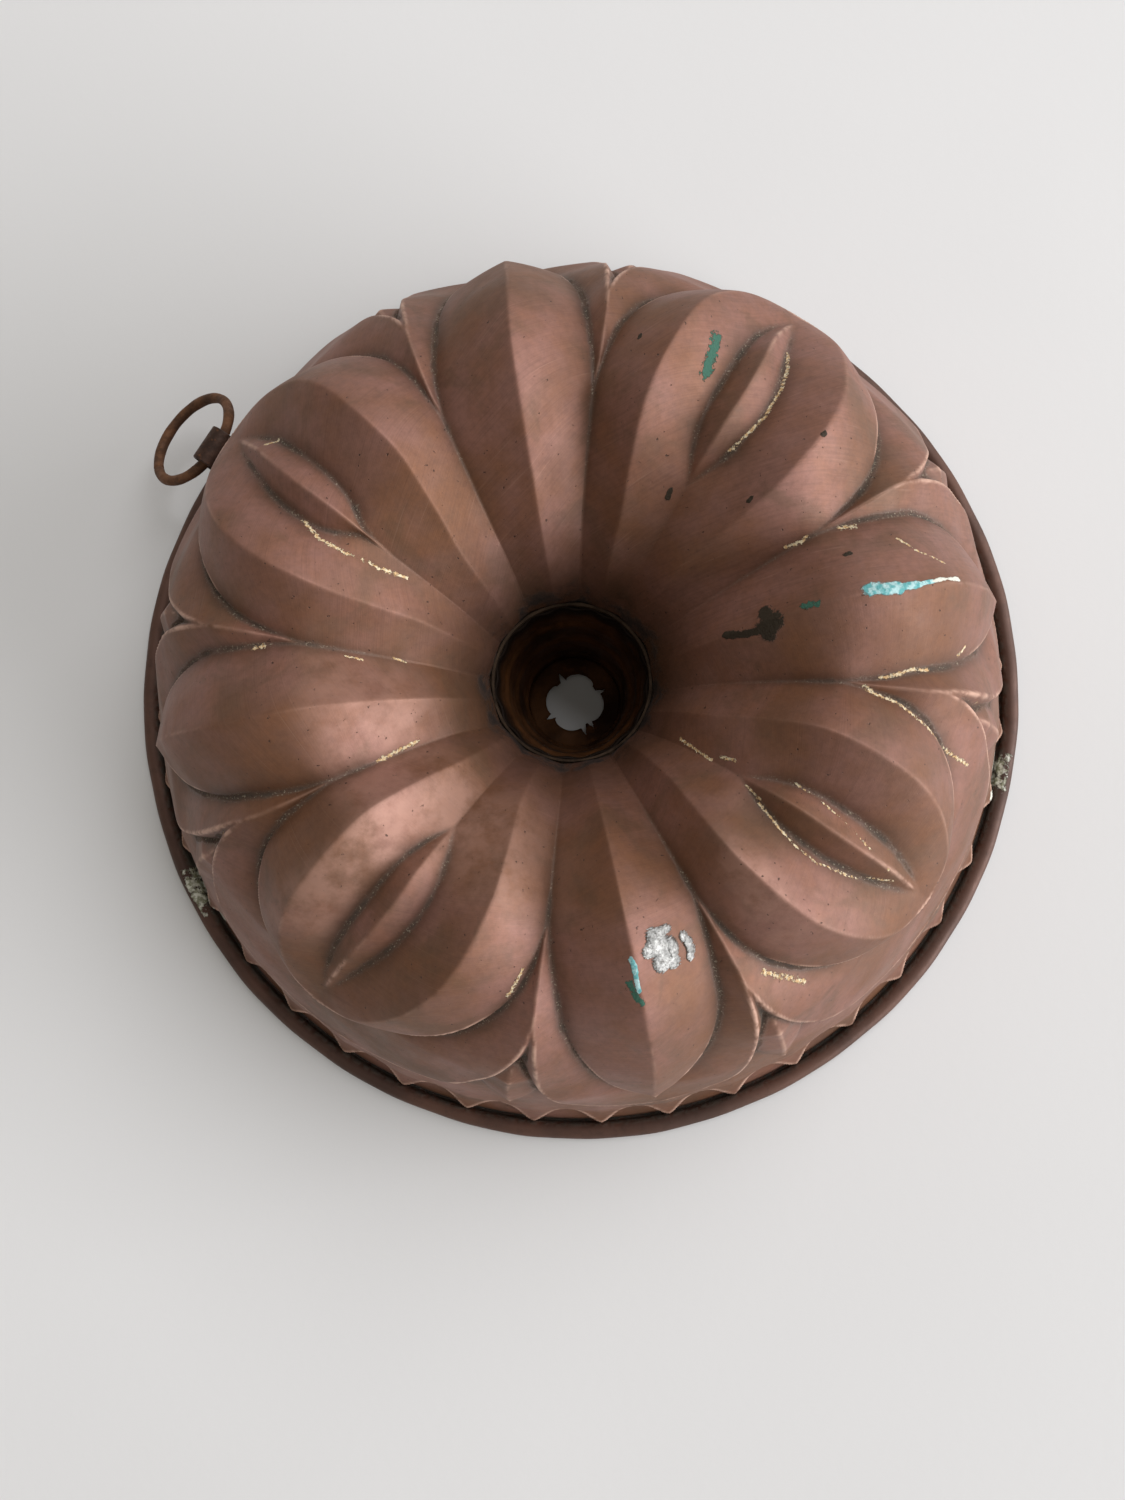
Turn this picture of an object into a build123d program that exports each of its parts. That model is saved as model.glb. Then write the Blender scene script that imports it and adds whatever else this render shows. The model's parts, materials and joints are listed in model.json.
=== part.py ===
from build123d import *
import os
from math import cos, degrees, radians, sin

os.makedirs("parts", exist_ok=True)

# A fluted ring-cake mould, upside down on its rim. Millimetres, +Z up, origin at the middle of
# the rim on the plane it stands on. Plain petals lie on +X, +Y, -X and -Y, wide petals between.

# Rim: the sheet's edge, rolled round an iron wire.
RIM_RADIUS = 125.0
BEAD_SECTION_R = 2.45
BEAD_CENTRE_Z = 2.3
WIRE_R = 1.5
WIRE_CLEARANCE = 0.02

# Pressed shell.
WALL = 1.2
FOOT_OUTER_R = 120.2
FOOT_WIDTH = 1.6
FOOT_BOTTOM_Z = 1.5
FOOT_TOP_Z = 5.0
PETAL_PAIRS = 4
MOUTH_R = 19.6
MOUTH_Z = 46.0
CREST_STATION = 10

# Chimney: it stands a little off the shell's axis, as the hand-soldered one does.
TUBE_SHIFT = Vector(-1.0, -3.0, 0)
TUBE_WALL = 0.9
TUBE_TOP_Z = 49.0
TUBE_FOOT_Z = 2.5
TUBE_TOP_BORE_R = 18.5
TUBE_FOOT_BORE_R = 12.8
TUBE_STEPS = 3
STEP_DEPTH = 0.9
STEP_HEIGHT = 1.6
END_Z = 3.0
END_THICKNESS = 0.8
END_RING_HEIGHT = 6.0
SCALLOPS = 5
SCALLOP_R = 4.4
SCALLOP_OFFSET = 3.6
NOTCH_REACH = 9.6
NOTCH_HALF_WIDTH = 1.0
SOLDER_DEPTH = 3.0
SOLDER_LIP = 0.5
SOLDER_THICKNESS = 1.6
SOLDER_REACH = 3.0
SOLDER_BITE = 0.4

# Strap lug and its ring, under the middle of one wide petal.
LUG_AZIMUTH = 136.85
LOOP_RADIUS_OUT = 115.6
LOOP_Z = 28.0
LOOP_INNER_R = 2.7
STRAP_THICKNESS = 1.0
STRAP_WIDTH = 10.0
NECK_RADIUS_OUT = 110.4
NECK_Z = 27.0
EYE_TIP_R = 0.1
EYE_TIP_RISE = 0.3
PLATE_HEIGHT = 13.0
PLATE_WIDTH = 18.0
PLATE_SINK = 0.7
PLATE_Z = 27.0
RING_WIRE_R = 1.4
RING_CENTRELINE_R = 13.6
RING_LEAN = 53.0  # from hanging straight down, outward
RIVET_R = 1.2
RIVET_HEAD_R = 2.3
RIVET_HEAD_HEIGHT = 0.9
RIVET_SPACING = 13.0
RIVET_CLEARANCE = 0.02

# The shell's profile through its highest ridges, foot to mouth: (radius, height).
PROFILE = [
    (120.0, 4.0),
    (114.9, 14.0),
    (112.2, 23.0),
    (109.8, 31.0),
    (107.8, 38.5),
    (105.4, 46.0),
    (101.9, 53.5),
    (96.6, 64.5),
    (89.0, 75.0),
    (79.5, 83.5),
    (66.0, 88.0),
    (54.0, 86.3),
    (43.0, 79.5),
    (33.0, 70.5),
    (26.0, 61.0),
    (21.5, 52.0),
    (MOUTH_R, MOUTH_Z),
]

# At each point of the profile, how far each line of a petal lies under it, in millimetres, and
# how many degrees it lies from the petal's middle. Valleys turn from a plain petal's middle.
VALLEY_DEPTHS = [0, 0, 0.4, 1.6, 3.2, 4.4, 5.6, 6.8, 7.2, 7.0, 6.9, 6.4, 5.4, 3.9, 2.3, 1.2, 0]
VALLEY_TURNS = [18.5] * 7 + [18.3, 18.0, 17.2, 16.3, 16.0, 16.0, 16.0, 16.5, 17.0, 18.0]
RIDGE_DEPTHS = [0, 0, 0.3, 0.9, 2.2, 3.8, 4.2, 3.0, 1.2, 0.3, 0, 0, 0, 0, 0, 0, 0]
RIDGE_TURNS = [14, 14, 14, 12, 9.5, 7, 6.5, 8.0, 11.3, 14.2, 16.4, 17.6, 16.8, 15.5, 14.5, 14, 13.5]
GROOVE_DEPTHS = [0, 0, 0.3, 1.0, 2.4, 4.2, 4.8, 4.4, 4.2, 4.8, 4.8, 4.4, 2.8, 2.0, 1.3, 0.8, 0]
GROOVE_TURNS = [7, 7, 7, 6, 4.5, 3.2, 2.6, 2.4, 2.6, 3.8, 5.0, 5.2, 2.6, 2.4, 2.8, 3.4, 4.4]
CREASE_DEPTHS = [0, 0, 0.3, 0.9, 2.2, 4.0, 4.5, 3.8, 2.6, 2.3, 2.4, 2.6, 2.5, 2.0, 1.3, 0.8, 0]

# Old repair on the flank of the petal at -Y: each drop's (radius out, azimuth, cap radius).
REPAIR_PETAL = 270.0
SOLDER_DROPS = [(76.0, 275.5, 5.0), (70.5, 276.5, 4.2), (73.5, 281.0, 3.6)]
DROP_HEIGHT = 1.0
DROP_SINK = 0.5
DROP_RAISE = 0.8  # the skin bulges this far over the straight lines between its points
CRUMB_VOLUME = 1.0

QUADRANT = 360 / PETAL_PAIRS
WIDE_AZIMUTH = QUADRANT / 2
BEAD_CENTRE_R = RIM_RADIUS - BEAD_SECTION_R
LUG_OUT = Vector(1, 0, 0).rotate(Axis.Z, LUG_AZIMUTH)
LUG_HINGE = LUG_OUT.cross(Vector(0, 0, 1))
LUG_PLANE = Plane(origin=(0, 0, 0), x_dir=LUG_OUT, z_dir=LUG_HINGE)
LOOP_CENTRE = LUG_OUT * LOOP_RADIUS_OUT + Vector(0, 0, LOOP_Z)


def normals(points):
    """Unit normals of an (a, b) polyline that runs foot to mouth, out of the shell."""
    last = len(points) - 1
    found = []
    for i in range(len(points)):
        before = points[max(i - 1, 0)]
        after = points[min(i + 1, last)]
        along = Vector(after[0] - before[0], after[1] - before[1], 0).normalized()
        found.append((along.Y, -along.X))
    return found


def key_curve(depths, turns, middle=0, side=1):
    """Points (radius, height, azimuth) of one line of a petal."""
    placed = []
    for (r, z), (out, up), depth, turn in zip(PROFILE, normals(PROFILE), depths, turns):
        placed.append((r - depth * out, z - depth * up, middle + side * turn))
    return placed


def half_way(first, second):
    """The curve half-way between two key curves, in radius, height and azimuth."""
    return [tuple((a + b) / 2 for a, b in zip(p, q)) for p, q in zip(first, second)]


def turned(curve, middle, side):
    """A curve mirrored or turned about the axis."""
    return [(r, z, middle + side * azimuth) for r, z, azimuth in curve]


def octant_curves():
    """Curves of one octant, from a plain petal's ridge to a wide petal's crease."""
    level = [0] * len(PROFILE)
    keys = [
        key_curve(level, level),
        key_curve(VALLEY_DEPTHS, VALLEY_TURNS),
        key_curve(RIDGE_DEPTHS, RIDGE_TURNS, WIDE_AZIMUTH, -1),
        key_curve(GROOVE_DEPTHS, GROOVE_TURNS, WIDE_AZIMUTH, -1),
        key_curve(CREASE_DEPTHS, level, WIDE_AZIMUTH, -1),
    ]
    curves = []
    for first, second in zip(keys, keys[1:]):
        curves += [first, half_way(first, second)]
    return curves + [keys[-1]]


def all_curves():
    """Every key curve round the mould, in order of azimuth."""
    octant = octant_curves()
    mirrored = [turned(curve, QUADRANT, -1) for curve in reversed(octant[1:-1])]
    quadrant = octant + mirrored
    turns = [k * QUADRANT for k in range(PETAL_PAIRS)]
    return [turned(curve, turn, 1) for turn in turns for curve in quadrant]


def inward(curve):
    """The same curve on the skin's other side, one wall thickness away."""
    directions = normals([(r, z) for r, z, _ in curve])
    moved = []
    for (r, z, azimuth), (out, up) in zip(curve, directions):
        moved.append((r - WALL * out, z - WALL * up, azimuth))
    return moved


def in_space(curve):
    """Points of a curve, leaning towards the chimney from the crest inward."""
    points = []
    inner_stations = len(curve) - 1 - CREST_STATION
    for i, (r, z, azimuth) in enumerate(curve):
        share = max(0, i - CREST_STATION) / inner_stations
        around = Vector(r * cos(radians(azimuth)), r * sin(radians(azimuth)), z)
        points.append(around + TUBE_SHIFT * share)
    return points


def make_fluted_skin():
    """The closed shell between the outer and the inner key curves, strip by strip."""
    outer_points = [in_space(curve) for curve in all_curves()]
    inner_points = [in_space(inward(curve)) for curve in all_curves()]
    outer = [Edge.make_spline(points) for points in outer_points]
    inner = [Edge.make_spline(points) for points in inner_points]
    feet = [Edge.make_line(a[0], b[0]) for a, b in zip(outer_points, inner_points)]
    mouths = [Edge.make_line(a[-1], b[-1]) for a, b in zip(outer_points, inner_points)]
    faces = []
    for edges in (outer, inner, feet, mouths):
        for first, second in zip(edges, edges[1:] + edges[:1]):
            faces.append(Face.make_surface_from_curves(first, second))
    return Solid(Shell(faces))


def ring_of(points):
    """A ring swept round the axis from (radius, height) corners."""
    return revolve(Plane.XZ * make_face(Polyline(*points, close=True)), Axis.Z)


def make_foot_ring():
    """The straight edge of the shell that stands inside the rolled rim."""
    inner = FOOT_OUTER_R - FOOT_WIDTH
    return ring_of(
        [
            (inner, FOOT_BOTTOM_Z),
            (FOOT_OUTER_R, FOOT_BOTTOM_Z),
            (FOOT_OUTER_R, FOOT_TOP_Z),
            (inner, FOOT_TOP_Z),
        ]
    )


def make_rim_bead():
    """The rolled edge: hollow for the wire, flat below, seated on the foot's outer face."""
    bead = Pos(0, 0, BEAD_CENTRE_Z) * Torus(BEAD_CENTRE_R, BEAD_SECTION_R)
    hollow = Pos(0, 0, BEAD_CENTRE_Z) * Torus(BEAD_CENTRE_R, WIRE_R + WIRE_CLEARANCE)
    below = Pos(0, 0, -BEAD_SECTION_R) * Cylinder(2 * RIM_RADIUS, 2 * BEAD_SECTION_R)
    inside = Cylinder(FOOT_OUTER_R, 4 * BEAD_SECTION_R)
    return bead - hollow - below - inside


def make_rim_wire():
    """The iron wire in the rolled edge."""
    return Pos(0, 0, BEAD_CENTRE_Z) * Torus(BEAD_CENTRE_R, WIRE_R)


def tube_bore_points():
    """The chimney's bore, top to foot: straight tapers with a step after each."""
    points = [(TUBE_TOP_BORE_R, TUBE_TOP_Z)]
    straight = END_Z + END_RING_HEIGHT
    taper = TUBE_TOP_BORE_R - TUBE_FOOT_BORE_R - TUBE_STEPS * STEP_DEPTH
    drop = (TUBE_TOP_Z - straight) / TUBE_STEPS
    r, z = points[0]
    for _ in range(TUBE_STEPS):
        r -= taper / TUBE_STEPS
        points.append((r, z - drop + STEP_HEIGHT))
        r -= STEP_DEPTH
        z -= drop
        points.append((r, z))
    return points + [(TUBE_FOOT_BORE_R, TUBE_FOOT_Z)]


def make_centre_tube():
    """The stepped, tapered chimney."""
    bore = tube_bore_points()
    outside = [(r + TUBE_WALL, z) for r, z in reversed(bore)]
    return Pos(TUBE_SHIFT) * ring_of(bore + outside)


def make_tube_end():
    """The disc that closes the chimney's foot, with its torn, scalloped hole."""
    disc = Cylinder(TUBE_FOOT_BORE_R, END_THICKNESS)
    for k in range(SCALLOPS):
        turn = k * 360 / SCALLOPS
        disc -= Rot(0, 0, turn) * Pos(SCALLOP_OFFSET, 0, 0) * Cylinder(SCALLOP_R, 2 * END_THICKNESS)
        notch = make_face(
            Polyline(
                (0, -NOTCH_HALF_WIDTH),
                (NOTCH_REACH, 0),
                (0, NOTCH_HALF_WIDTH),
                close=True,
            )
        )
        cutter = extrude(notch, END_THICKNESS, both=True)
        disc -= Rot(0, 0, turn + 180 / SCALLOPS) * cutter
    return Pos(TUBE_SHIFT) * Pos(0, 0, END_Z + END_THICKNESS / 2) * disc


def make_tube_solder(shell, tube):
    """The solder fillet round the chimney, under the shell's mouth."""
    inner_r = TUBE_TOP_BORE_R - TUBE_WALL
    fillet = ring_of(
        [
            (inner_r, MOUTH_Z - SOLDER_DEPTH),
            (inner_r + SOLDER_THICKNESS, MOUTH_Z - SOLDER_DEPTH),
            (MOUTH_R + SOLDER_REACH, MOUTH_Z + SOLDER_LIP),
            (MOUTH_R + SOLDER_BITE, MOUTH_Z + SOLDER_LIP),
            (inner_r, MOUTH_Z),
        ]
    )
    return largest(Pos(TUBE_SHIFT) * fillet - shell - tube)


def largest(shape):
    """The biggest solid of a shape, leaving crumbs of a cut behind."""
    return sorted(shape.solids(), key=lambda solid: solid.volume)[-1]


def wall_radius(height):
    """The shell's outer radius at a height of its foot, in the middle of a wide petal."""
    for (r, z), (next_r, next_z) in zip(PROFILE, PROFILE[1:]):
        if z <= height <= next_z:
            return r + (height - z) / (next_z - z) * (next_r - r)
    raise ValueError("height is off the profile")


def wall_plane(height):
    """A plane on the shell under the lug: x up the slope, y along it, z straight out of it."""
    rise = PLATE_HEIGHT / 2
    low = wall_radius(height - rise)
    high = wall_radius(height + rise)
    up_slope = LUG_OUT * (high - low) + Vector(0, 0, 2 * rise)
    middle = LUG_OUT * ((low + high) / 2) + Vector(0, 0, height)
    return Plane(origin=middle, x_dir=up_slope, z_dir=up_slope.cross(LUG_HINGE))


def hull_of(big, small):
    """A face round two circles, each (radius out, height, radius), in the lug's plane."""
    circles = [Pos(x, y) * Circle(r) for x, y, r in (big, small)]
    return make_hull(circles[0].edges() + circles[1].edges())


def make_ring_strap(shell):
    """The folded strip: a loop round the ring's wire and a plate against the shell."""
    outer_r = LOOP_INNER_R + STRAP_THICKNESS
    outer = hull_of((LOOP_RADIUS_OUT, LOOP_Z, outer_r), (NECK_RADIUS_OUT, NECK_Z, STRAP_THICKNESS))
    eye = hull_of(
        (LOOP_RADIUS_OUT, LOOP_Z, LOOP_INNER_R),
        (NECK_RADIUS_OUT + 2 * STRAP_THICKNESS, NECK_Z + EYE_TIP_RISE, EYE_TIP_R),
    )
    loop = extrude(LUG_PLANE * (outer - eye), STRAP_WIDTH / 2, both=True)
    plate = wall_plane(PLATE_Z) * Box(
        PLATE_HEIGHT,
        PLATE_WIDTH,
        STRAP_THICKNESS + PLATE_SINK,
        align=(Align.CENTER, Align.CENTER, Align.MIN),
    )
    plate = Pos(wall_plane(PLATE_Z).z_dir * -PLATE_SINK) * plate
    return largest(loop + plate - shell)


def rivet_planes():
    """The two rivets' places, on the plate each side of the loop."""
    base = wall_plane(PLATE_Z)
    return [base * Pos(0, side * RIVET_SPACING / 2, 0) for side in (-1, 1)]


def make_rivet_shanks(radius):
    """Shanks right through plate and shell."""
    length = 2 * (STRAP_THICKNESS + WALL + RIVET_HEAD_HEIGHT)
    return [place * Cylinder(radius, length) for place in rivet_planes()]


def make_strap_rivets(shell, strap):
    """Two rivets with a domed head outside and a flat one inside."""
    rivets = []
    for place in rivet_planes():
        shank_low = -WALL - RIVET_HEAD_HEIGHT
        shank_high = STRAP_THICKNESS + RIVET_HEAD_HEIGHT / 2
        middle = (shank_low + shank_high) / 2
        rivet = place * Pos(0, 0, middle) * Cylinder(RIVET_R, shank_high - shank_low)
        dome_r = (RIVET_HEAD_R**2 + RIVET_HEAD_HEIGHT**2) / (2 * RIVET_HEAD_HEIGHT)
        dome = Pos(0, 0, RIVET_HEAD_HEIGHT - dome_r) * Sphere(dome_r)
        dome &= Pos(0, 0, RIVET_HEAD_HEIGHT / 2) * Cylinder(RIVET_HEAD_R * 2, RIVET_HEAD_HEIGHT)
        rivet += place * Pos(0, 0, STRAP_THICKNESS) * dome
        tail_z = -WALL - RIVET_HEAD_HEIGHT / 2
        rivet += place * Pos(0, 0, tail_z) * Cylinder(RIVET_HEAD_R, RIVET_HEAD_HEIGHT)
        rivets.append(largest(rivet - shell - strap))
    return Compound(children=rivets)


def make_hanging_ring():
    """The wire ring, leaning outward from the strap's loop."""
    lean = radians(RING_LEAN)
    away = LUG_OUT * sin(lean) - Vector(0, 0, 1) * cos(lean)
    centre = LOOP_CENTRE + away * RING_CENTRELINE_R
    plane = Plane(origin=centre, x_dir=away, z_dir=away.cross(LUG_HINGE))
    return plane * Torus(RING_CENTRELINE_R, RING_WIRE_R)


def flank_point(radius, azimuth):
    """A point on the plain petal at -Y, between its ridge and the valley beside it."""
    ridge = key_curve([0] * len(PROFILE), [0] * len(PROFILE))
    valley = key_curve(VALLEY_DEPTHS, VALLEY_TURNS)
    share = abs(azimuth - REPAIR_PETAL) / VALLEY_TURNS[CREST_STATION]
    height = crown_height(ridge, radius) * (1 - share) + crown_height(valley, radius) * share
    return Vector(radius * cos(radians(azimuth)), radius * sin(radians(azimuth)), height)


def crown_height(curve, radius):
    """Height of a curve outside the crest, at a radius."""
    outside = curve[: CREST_STATION + 1]
    for (r, z, _), (next_r, next_z, _) in zip(outside, outside[1:]):
        if next_r <= radius <= r:
            return z + (r - radius) / (r - next_r) * (next_z - z)
    raise ValueError("radius is off the crown's outer side")


def make_repair_solder(shell):
    """Low drops of solder, shaped to the flank they sit on."""
    drops = []
    for radius, azimuth, cap_r in SOLDER_DROPS:
        here = flank_point(radius, azimuth)
        outward = flank_point(radius + cap_r / 2, azimuth) - here
        around = flank_point(radius, azimuth + degrees(cap_r / 2 / radius)) - here
        up = outward.cross(around).normalized()
        total = DROP_HEIGHT + DROP_SINK
        ball_r = (cap_r**2 + total**2) / (2 * total)
        cap = Pos(0, 0, DROP_HEIGHT - ball_r) * Sphere(ball_r)
        cap &= Pos(0, 0, total / 2 - DROP_SINK) * Cylinder(cap_r, total)
        drops.append(Plane(origin=here + up * DROP_RAISE, x_dir=outward, z_dir=up) * cap)
    joined = drops[0]
    for drop in drops[1:]:
        joined += drop
    kept = [solid for solid in (joined - shell).solids() if solid.volume > CRUMB_VOLUME]
    return Compound(children=kept)


def main():
    shanks = make_rivet_shanks(RIVET_R + RIVET_CLEARANCE)
    shell = make_fluted_skin() + make_foot_ring()
    strap = make_ring_strap(shell)
    for shank in shanks:
        shell -= shank
        strap -= shank
    tube = make_centre_tube()
    pieces = {
        "fluted_body": shell,
        "rim_bead": make_rim_bead(),
        "rim_wire": make_rim_wire(),
        "centre_tube": tube,
        "tube_end": make_tube_end(),
        "tube_solder": make_tube_solder(shell, tube),
        "ring_strap": strap,
        "strap_rivets": make_strap_rivets(shell, strap),
        "hanging_ring": make_hanging_ring(),
        "repair_solder": make_repair_solder(shell),
    }
    for name, piece in pieces.items():
        export_step(piece, f"parts/{name}.step")


main()
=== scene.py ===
"""A fluted ring-cake mould in old copper, upside down on its rim, on a pale floor.

Shapes are worked out in millimetres and become metres as they turn into meshes. Angles are in
degrees from +X towards +Y, as seen from above. The shell is described by an envelope, its profile
through the highest ridges, and by how deep every other place lies under that envelope.
"""

import json
import math

import bpy
import numpy as np
from mathutils import Matrix, Vector


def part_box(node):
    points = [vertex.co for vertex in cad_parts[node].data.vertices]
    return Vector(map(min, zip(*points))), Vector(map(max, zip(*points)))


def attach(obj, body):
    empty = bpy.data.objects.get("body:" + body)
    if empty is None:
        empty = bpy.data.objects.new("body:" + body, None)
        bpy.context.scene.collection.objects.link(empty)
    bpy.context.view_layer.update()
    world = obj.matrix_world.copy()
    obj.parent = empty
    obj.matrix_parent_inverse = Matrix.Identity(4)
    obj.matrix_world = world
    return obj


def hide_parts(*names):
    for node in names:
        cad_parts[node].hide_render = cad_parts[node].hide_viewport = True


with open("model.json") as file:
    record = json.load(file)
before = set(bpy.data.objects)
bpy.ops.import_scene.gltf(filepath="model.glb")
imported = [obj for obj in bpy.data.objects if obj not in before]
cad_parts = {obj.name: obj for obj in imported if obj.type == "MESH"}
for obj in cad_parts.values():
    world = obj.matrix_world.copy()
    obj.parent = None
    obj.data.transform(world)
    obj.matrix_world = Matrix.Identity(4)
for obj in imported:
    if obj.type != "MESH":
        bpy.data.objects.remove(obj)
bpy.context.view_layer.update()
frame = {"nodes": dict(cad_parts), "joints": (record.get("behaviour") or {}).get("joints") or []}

MM = 0.001

# -------------------- shell dimensions

# The envelope, foot to mouth: station, radius, height. Station 10 is the crest.
ENVELOPE = [
    (-1, 121.0, 0.9), (0, 120.2, 4.0), (1, 114.9, 14.0), (2, 112.2, 23.0),
    (3, 109.8, 31.0), (4, 107.8, 38.5), (5, 105.4, 46.0), (6, 101.9, 53.5),
    (7, 96.6, 64.5), (8, 89.0, 75.0), (9, 79.5, 83.5), (10, 66.0, 88.0),
    (11, 54.0, 86.3), (12, 43.0, 79.5), (13, 33.0, 70.5), (14, 26.0, 61.0),
    (15, 21.5, 52.0), (16, 19.6, 46.0),
]
FOOT_STATION = -1
CREST_STATION = 10
MOUTH_STATION = 16
WALL = 1.2
TUBE_SHIFT = (-1.0, -3.0)

# Half-widths in degrees and depths in millimetres, each {station: value}. A negative half-width
# means that the shape has ended there: the edge line closes where it passes nought.
PLAIN_EDGE = {0: -16, 4: -3.2, 4.9: 0, 5.3: 2.4, 6: 5.4, 7: 8.8, 8: 11.6, 9: 13.5, 10: 15, 11: 16,
              13: 16, 14: 16.3, 15: 17, 16: 18}
PLAIN_DEPTH = {4.9: 1.0, 6: 2.8, 7: 5.0, 8: 7.2, 9: 9.0, 10: 10, 11: 9.2, 12: 7.4, 13: 5.2, 14: 3.0,
               15: 1.5, 16: 0.7}
WIDE_EDGE = {0: -24, 6: -8, 6.6: 0, 6.85: 7, 7.2: 13.4, 7.6: 17.6, 8.3: 22.2, 8.8: 24.5, 9.4: 26.7,
             10: 28.2, 11: 29, 13: 29, 14: 28.7, 15: 28, 16: 27}
WIDE_DEPTH = {6.6: 0.6, 7.2: 2.8, 7.8: 4.8, 8.4: 6.7, 9: 8.4, 10: 10, 11: 9.2, 12: 7.4, 13: 5.2,
              14: 3.0, 15: 1.5, 16: 0.7}
WIDE_RIDGE = {0: -24, 6: -8, 6.6: 0, 6.9: 4.6, 7.5: 8.4, 8: 10.5, 8.6: 12.4, 9.4: 14.7, 10.2: 16.4,
              11: 17.3, 12: 16.4, 13: 14.5, 14: 14, 15: 13.5, 16: 13}
HOLLOW_DEPTH = {6.6: 0.1, 7: 1.5, 7.5: 3.5, 8: 5.2, 9: 7.4, 10: 8, 11: 7.2, 12: 5.2, 13: 3.6,
                14: 2.2, 15: 1.2, 16: 0.5}
ALMOND_EDGE = {6.3: -3, 7.1: 0, 7.6: 1.5, 8.2: 2.8, 9: 4.0, 9.6: 4.7, 10.2: 5.0, 10.8: 4.7,
               11.4: 3.4, 12.0: 0, 13: -5}
ALMOND_LIFT = {7.1: 0, 7.6: 1.3, 8.2: 2.7, 9: 3.7, 9.6: 4.1, 10.4: 4.0, 11: 3.2, 11.5: 1.9, 12: 0}
PLAIN_LEAF_EDGE = {0: -22, 2.4: 0, 3: 7, 4: 10.6, 5: 12.7, 6: 14.2, 7: 15.2, 8: 16, 8.6: 16.4,
                   9: 16.5, 10: 16.4, 10.6: 16, 11: 16}
WIDE_LEAF_EDGE = {0: -24, 2.6: 0, 3.2: 9, 4: 15.5, 5: 19.8, 6: 22.8, 7: 25.6, 8: 28, 8.6: 28.6,
                  9: 28.5, 10: 28.6, 10.6: 29, 11: 29}
LEAF_DEPTH = {2.4: 0, 4: 0.4, 5: 0.7, 6: 1.1, 7: 1.6, 8: 2.8, 8.6: 4.2, 9.2: 6.2, 10: 8.8, 11: 9.4}
LEAF_FALL = {2.4: 0.2, 3.4: 1.4, 5: 2.8, 6: 3.8, 7: 4.6, 8: 5.0, 9: 3.2, 10: 1.6, 11: 0.2}
FLOOR_DEPTH = {-1: 0, 1: 0, 2: 0.2, 3: 0.9, 4: 2.4, 5: 4.2, 6: 6, 7: 7.4, 8: 8.4, 9: 9.2, 10: 10,
               11: 10}
SPIKE_EDGE = {0: -12, 2.5: 0, 5.6: 4.5, 7.2: 0, 8: -6}
SPIKE_RIDGE = {2.5: 0.1, 6.3: 1.2, 7.2: 5.6}

SPIKE_AZIMUTH = 18.2
SPIKE_PITCH = 0.42
PETAL_DROP = 2.2
LEAF_DROP = 1.2
CREASE_R = 0.35
JOIN_R = 0.55
TEETH = 40
TOOTH_PHASE = 2.4
TOOTH_DEPTH = 1.6
TOOTH_TOP_STATION = 1.7
TOOTH_FOOT_STATION = -0.1
FACET_RELIEF = 0.6

# How far each petal was pressed off its even place, in degrees, at four stations from tip to
# mouth. The petals follow each other from +X round to 315.
DRIFT_STATIONS = [6, 8, 10.2, 13]
PETAL_DRIFT = [
    (-1.2, -0.8, -1.5, -2.0),
    (0.6, 1.9, 0.1, 0.2),
    (-0.8, -0.7, 0.8, 1.8),
    (1.0, 1.6, 4.4, 6.0),
    (0.0, 1.6, 3.9, 5.2),
    (-2.6, -1.4, 1.0, 1.2),
    (0.6, 1.2, 1.1, 1.2),
    (0.6, 0.1, -1.3, -1.6),
]
PETAL_PITCH = 45

# One almond's inner end is drawn back by 0.8 stations, little by little over stations 9 to 12.
SHORT_ALMOND_AZIMUTH = 135.0
SHORT_FROM = 9
SHORT_OVER = 3
SHORT_BY = 0.8

# Low dents and waves left by use: (height, waves round, waves along, phase).
DENTS = [(0.22, 3, 0.5, 0.4), (0.15, 5, 0.9, 2.1), (0.10, 11, 1.7, 4.0), (0.06, 23, 2.6, 1.3)]

OUTER_STEP = 0.55
INNER_STEP = 1.0
COLUMNS = 1200
LINING_ROWS = 5
BRUSH_SHARE = 0.05

# What grows over two limits: wear with how proud a place is in mm and downwards to the foot,
# grime and painted shade with how hollow a place is in mm, the mouth's painted shade with the
# station.
WORN_PROUD = (0.05, 0.26)
WORN_STATIONS = (9.4, 7.6)
WORN_ABOVE = 0.15
GRIME_HOLLOW = (0.16, 0.85)
VALLEY_SHADE_HOLLOW = (0.25, 2.2)
INWARD_STATIONS = (12.2, 15.5)
# Places painted paler as painted highlight on facets the lamps leave too dark: azimuth, reach in
# degrees, lowest and highest station, strength.
PAINTED_LIGHT_PLACES = [(212, 62, 10.0, 13.8, 1.0), (215.5, 8, 7.6, 12.0, 1.2), (297, 7, 8.4, 11.8, 1.3)]


# -------------------- curve tools


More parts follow.
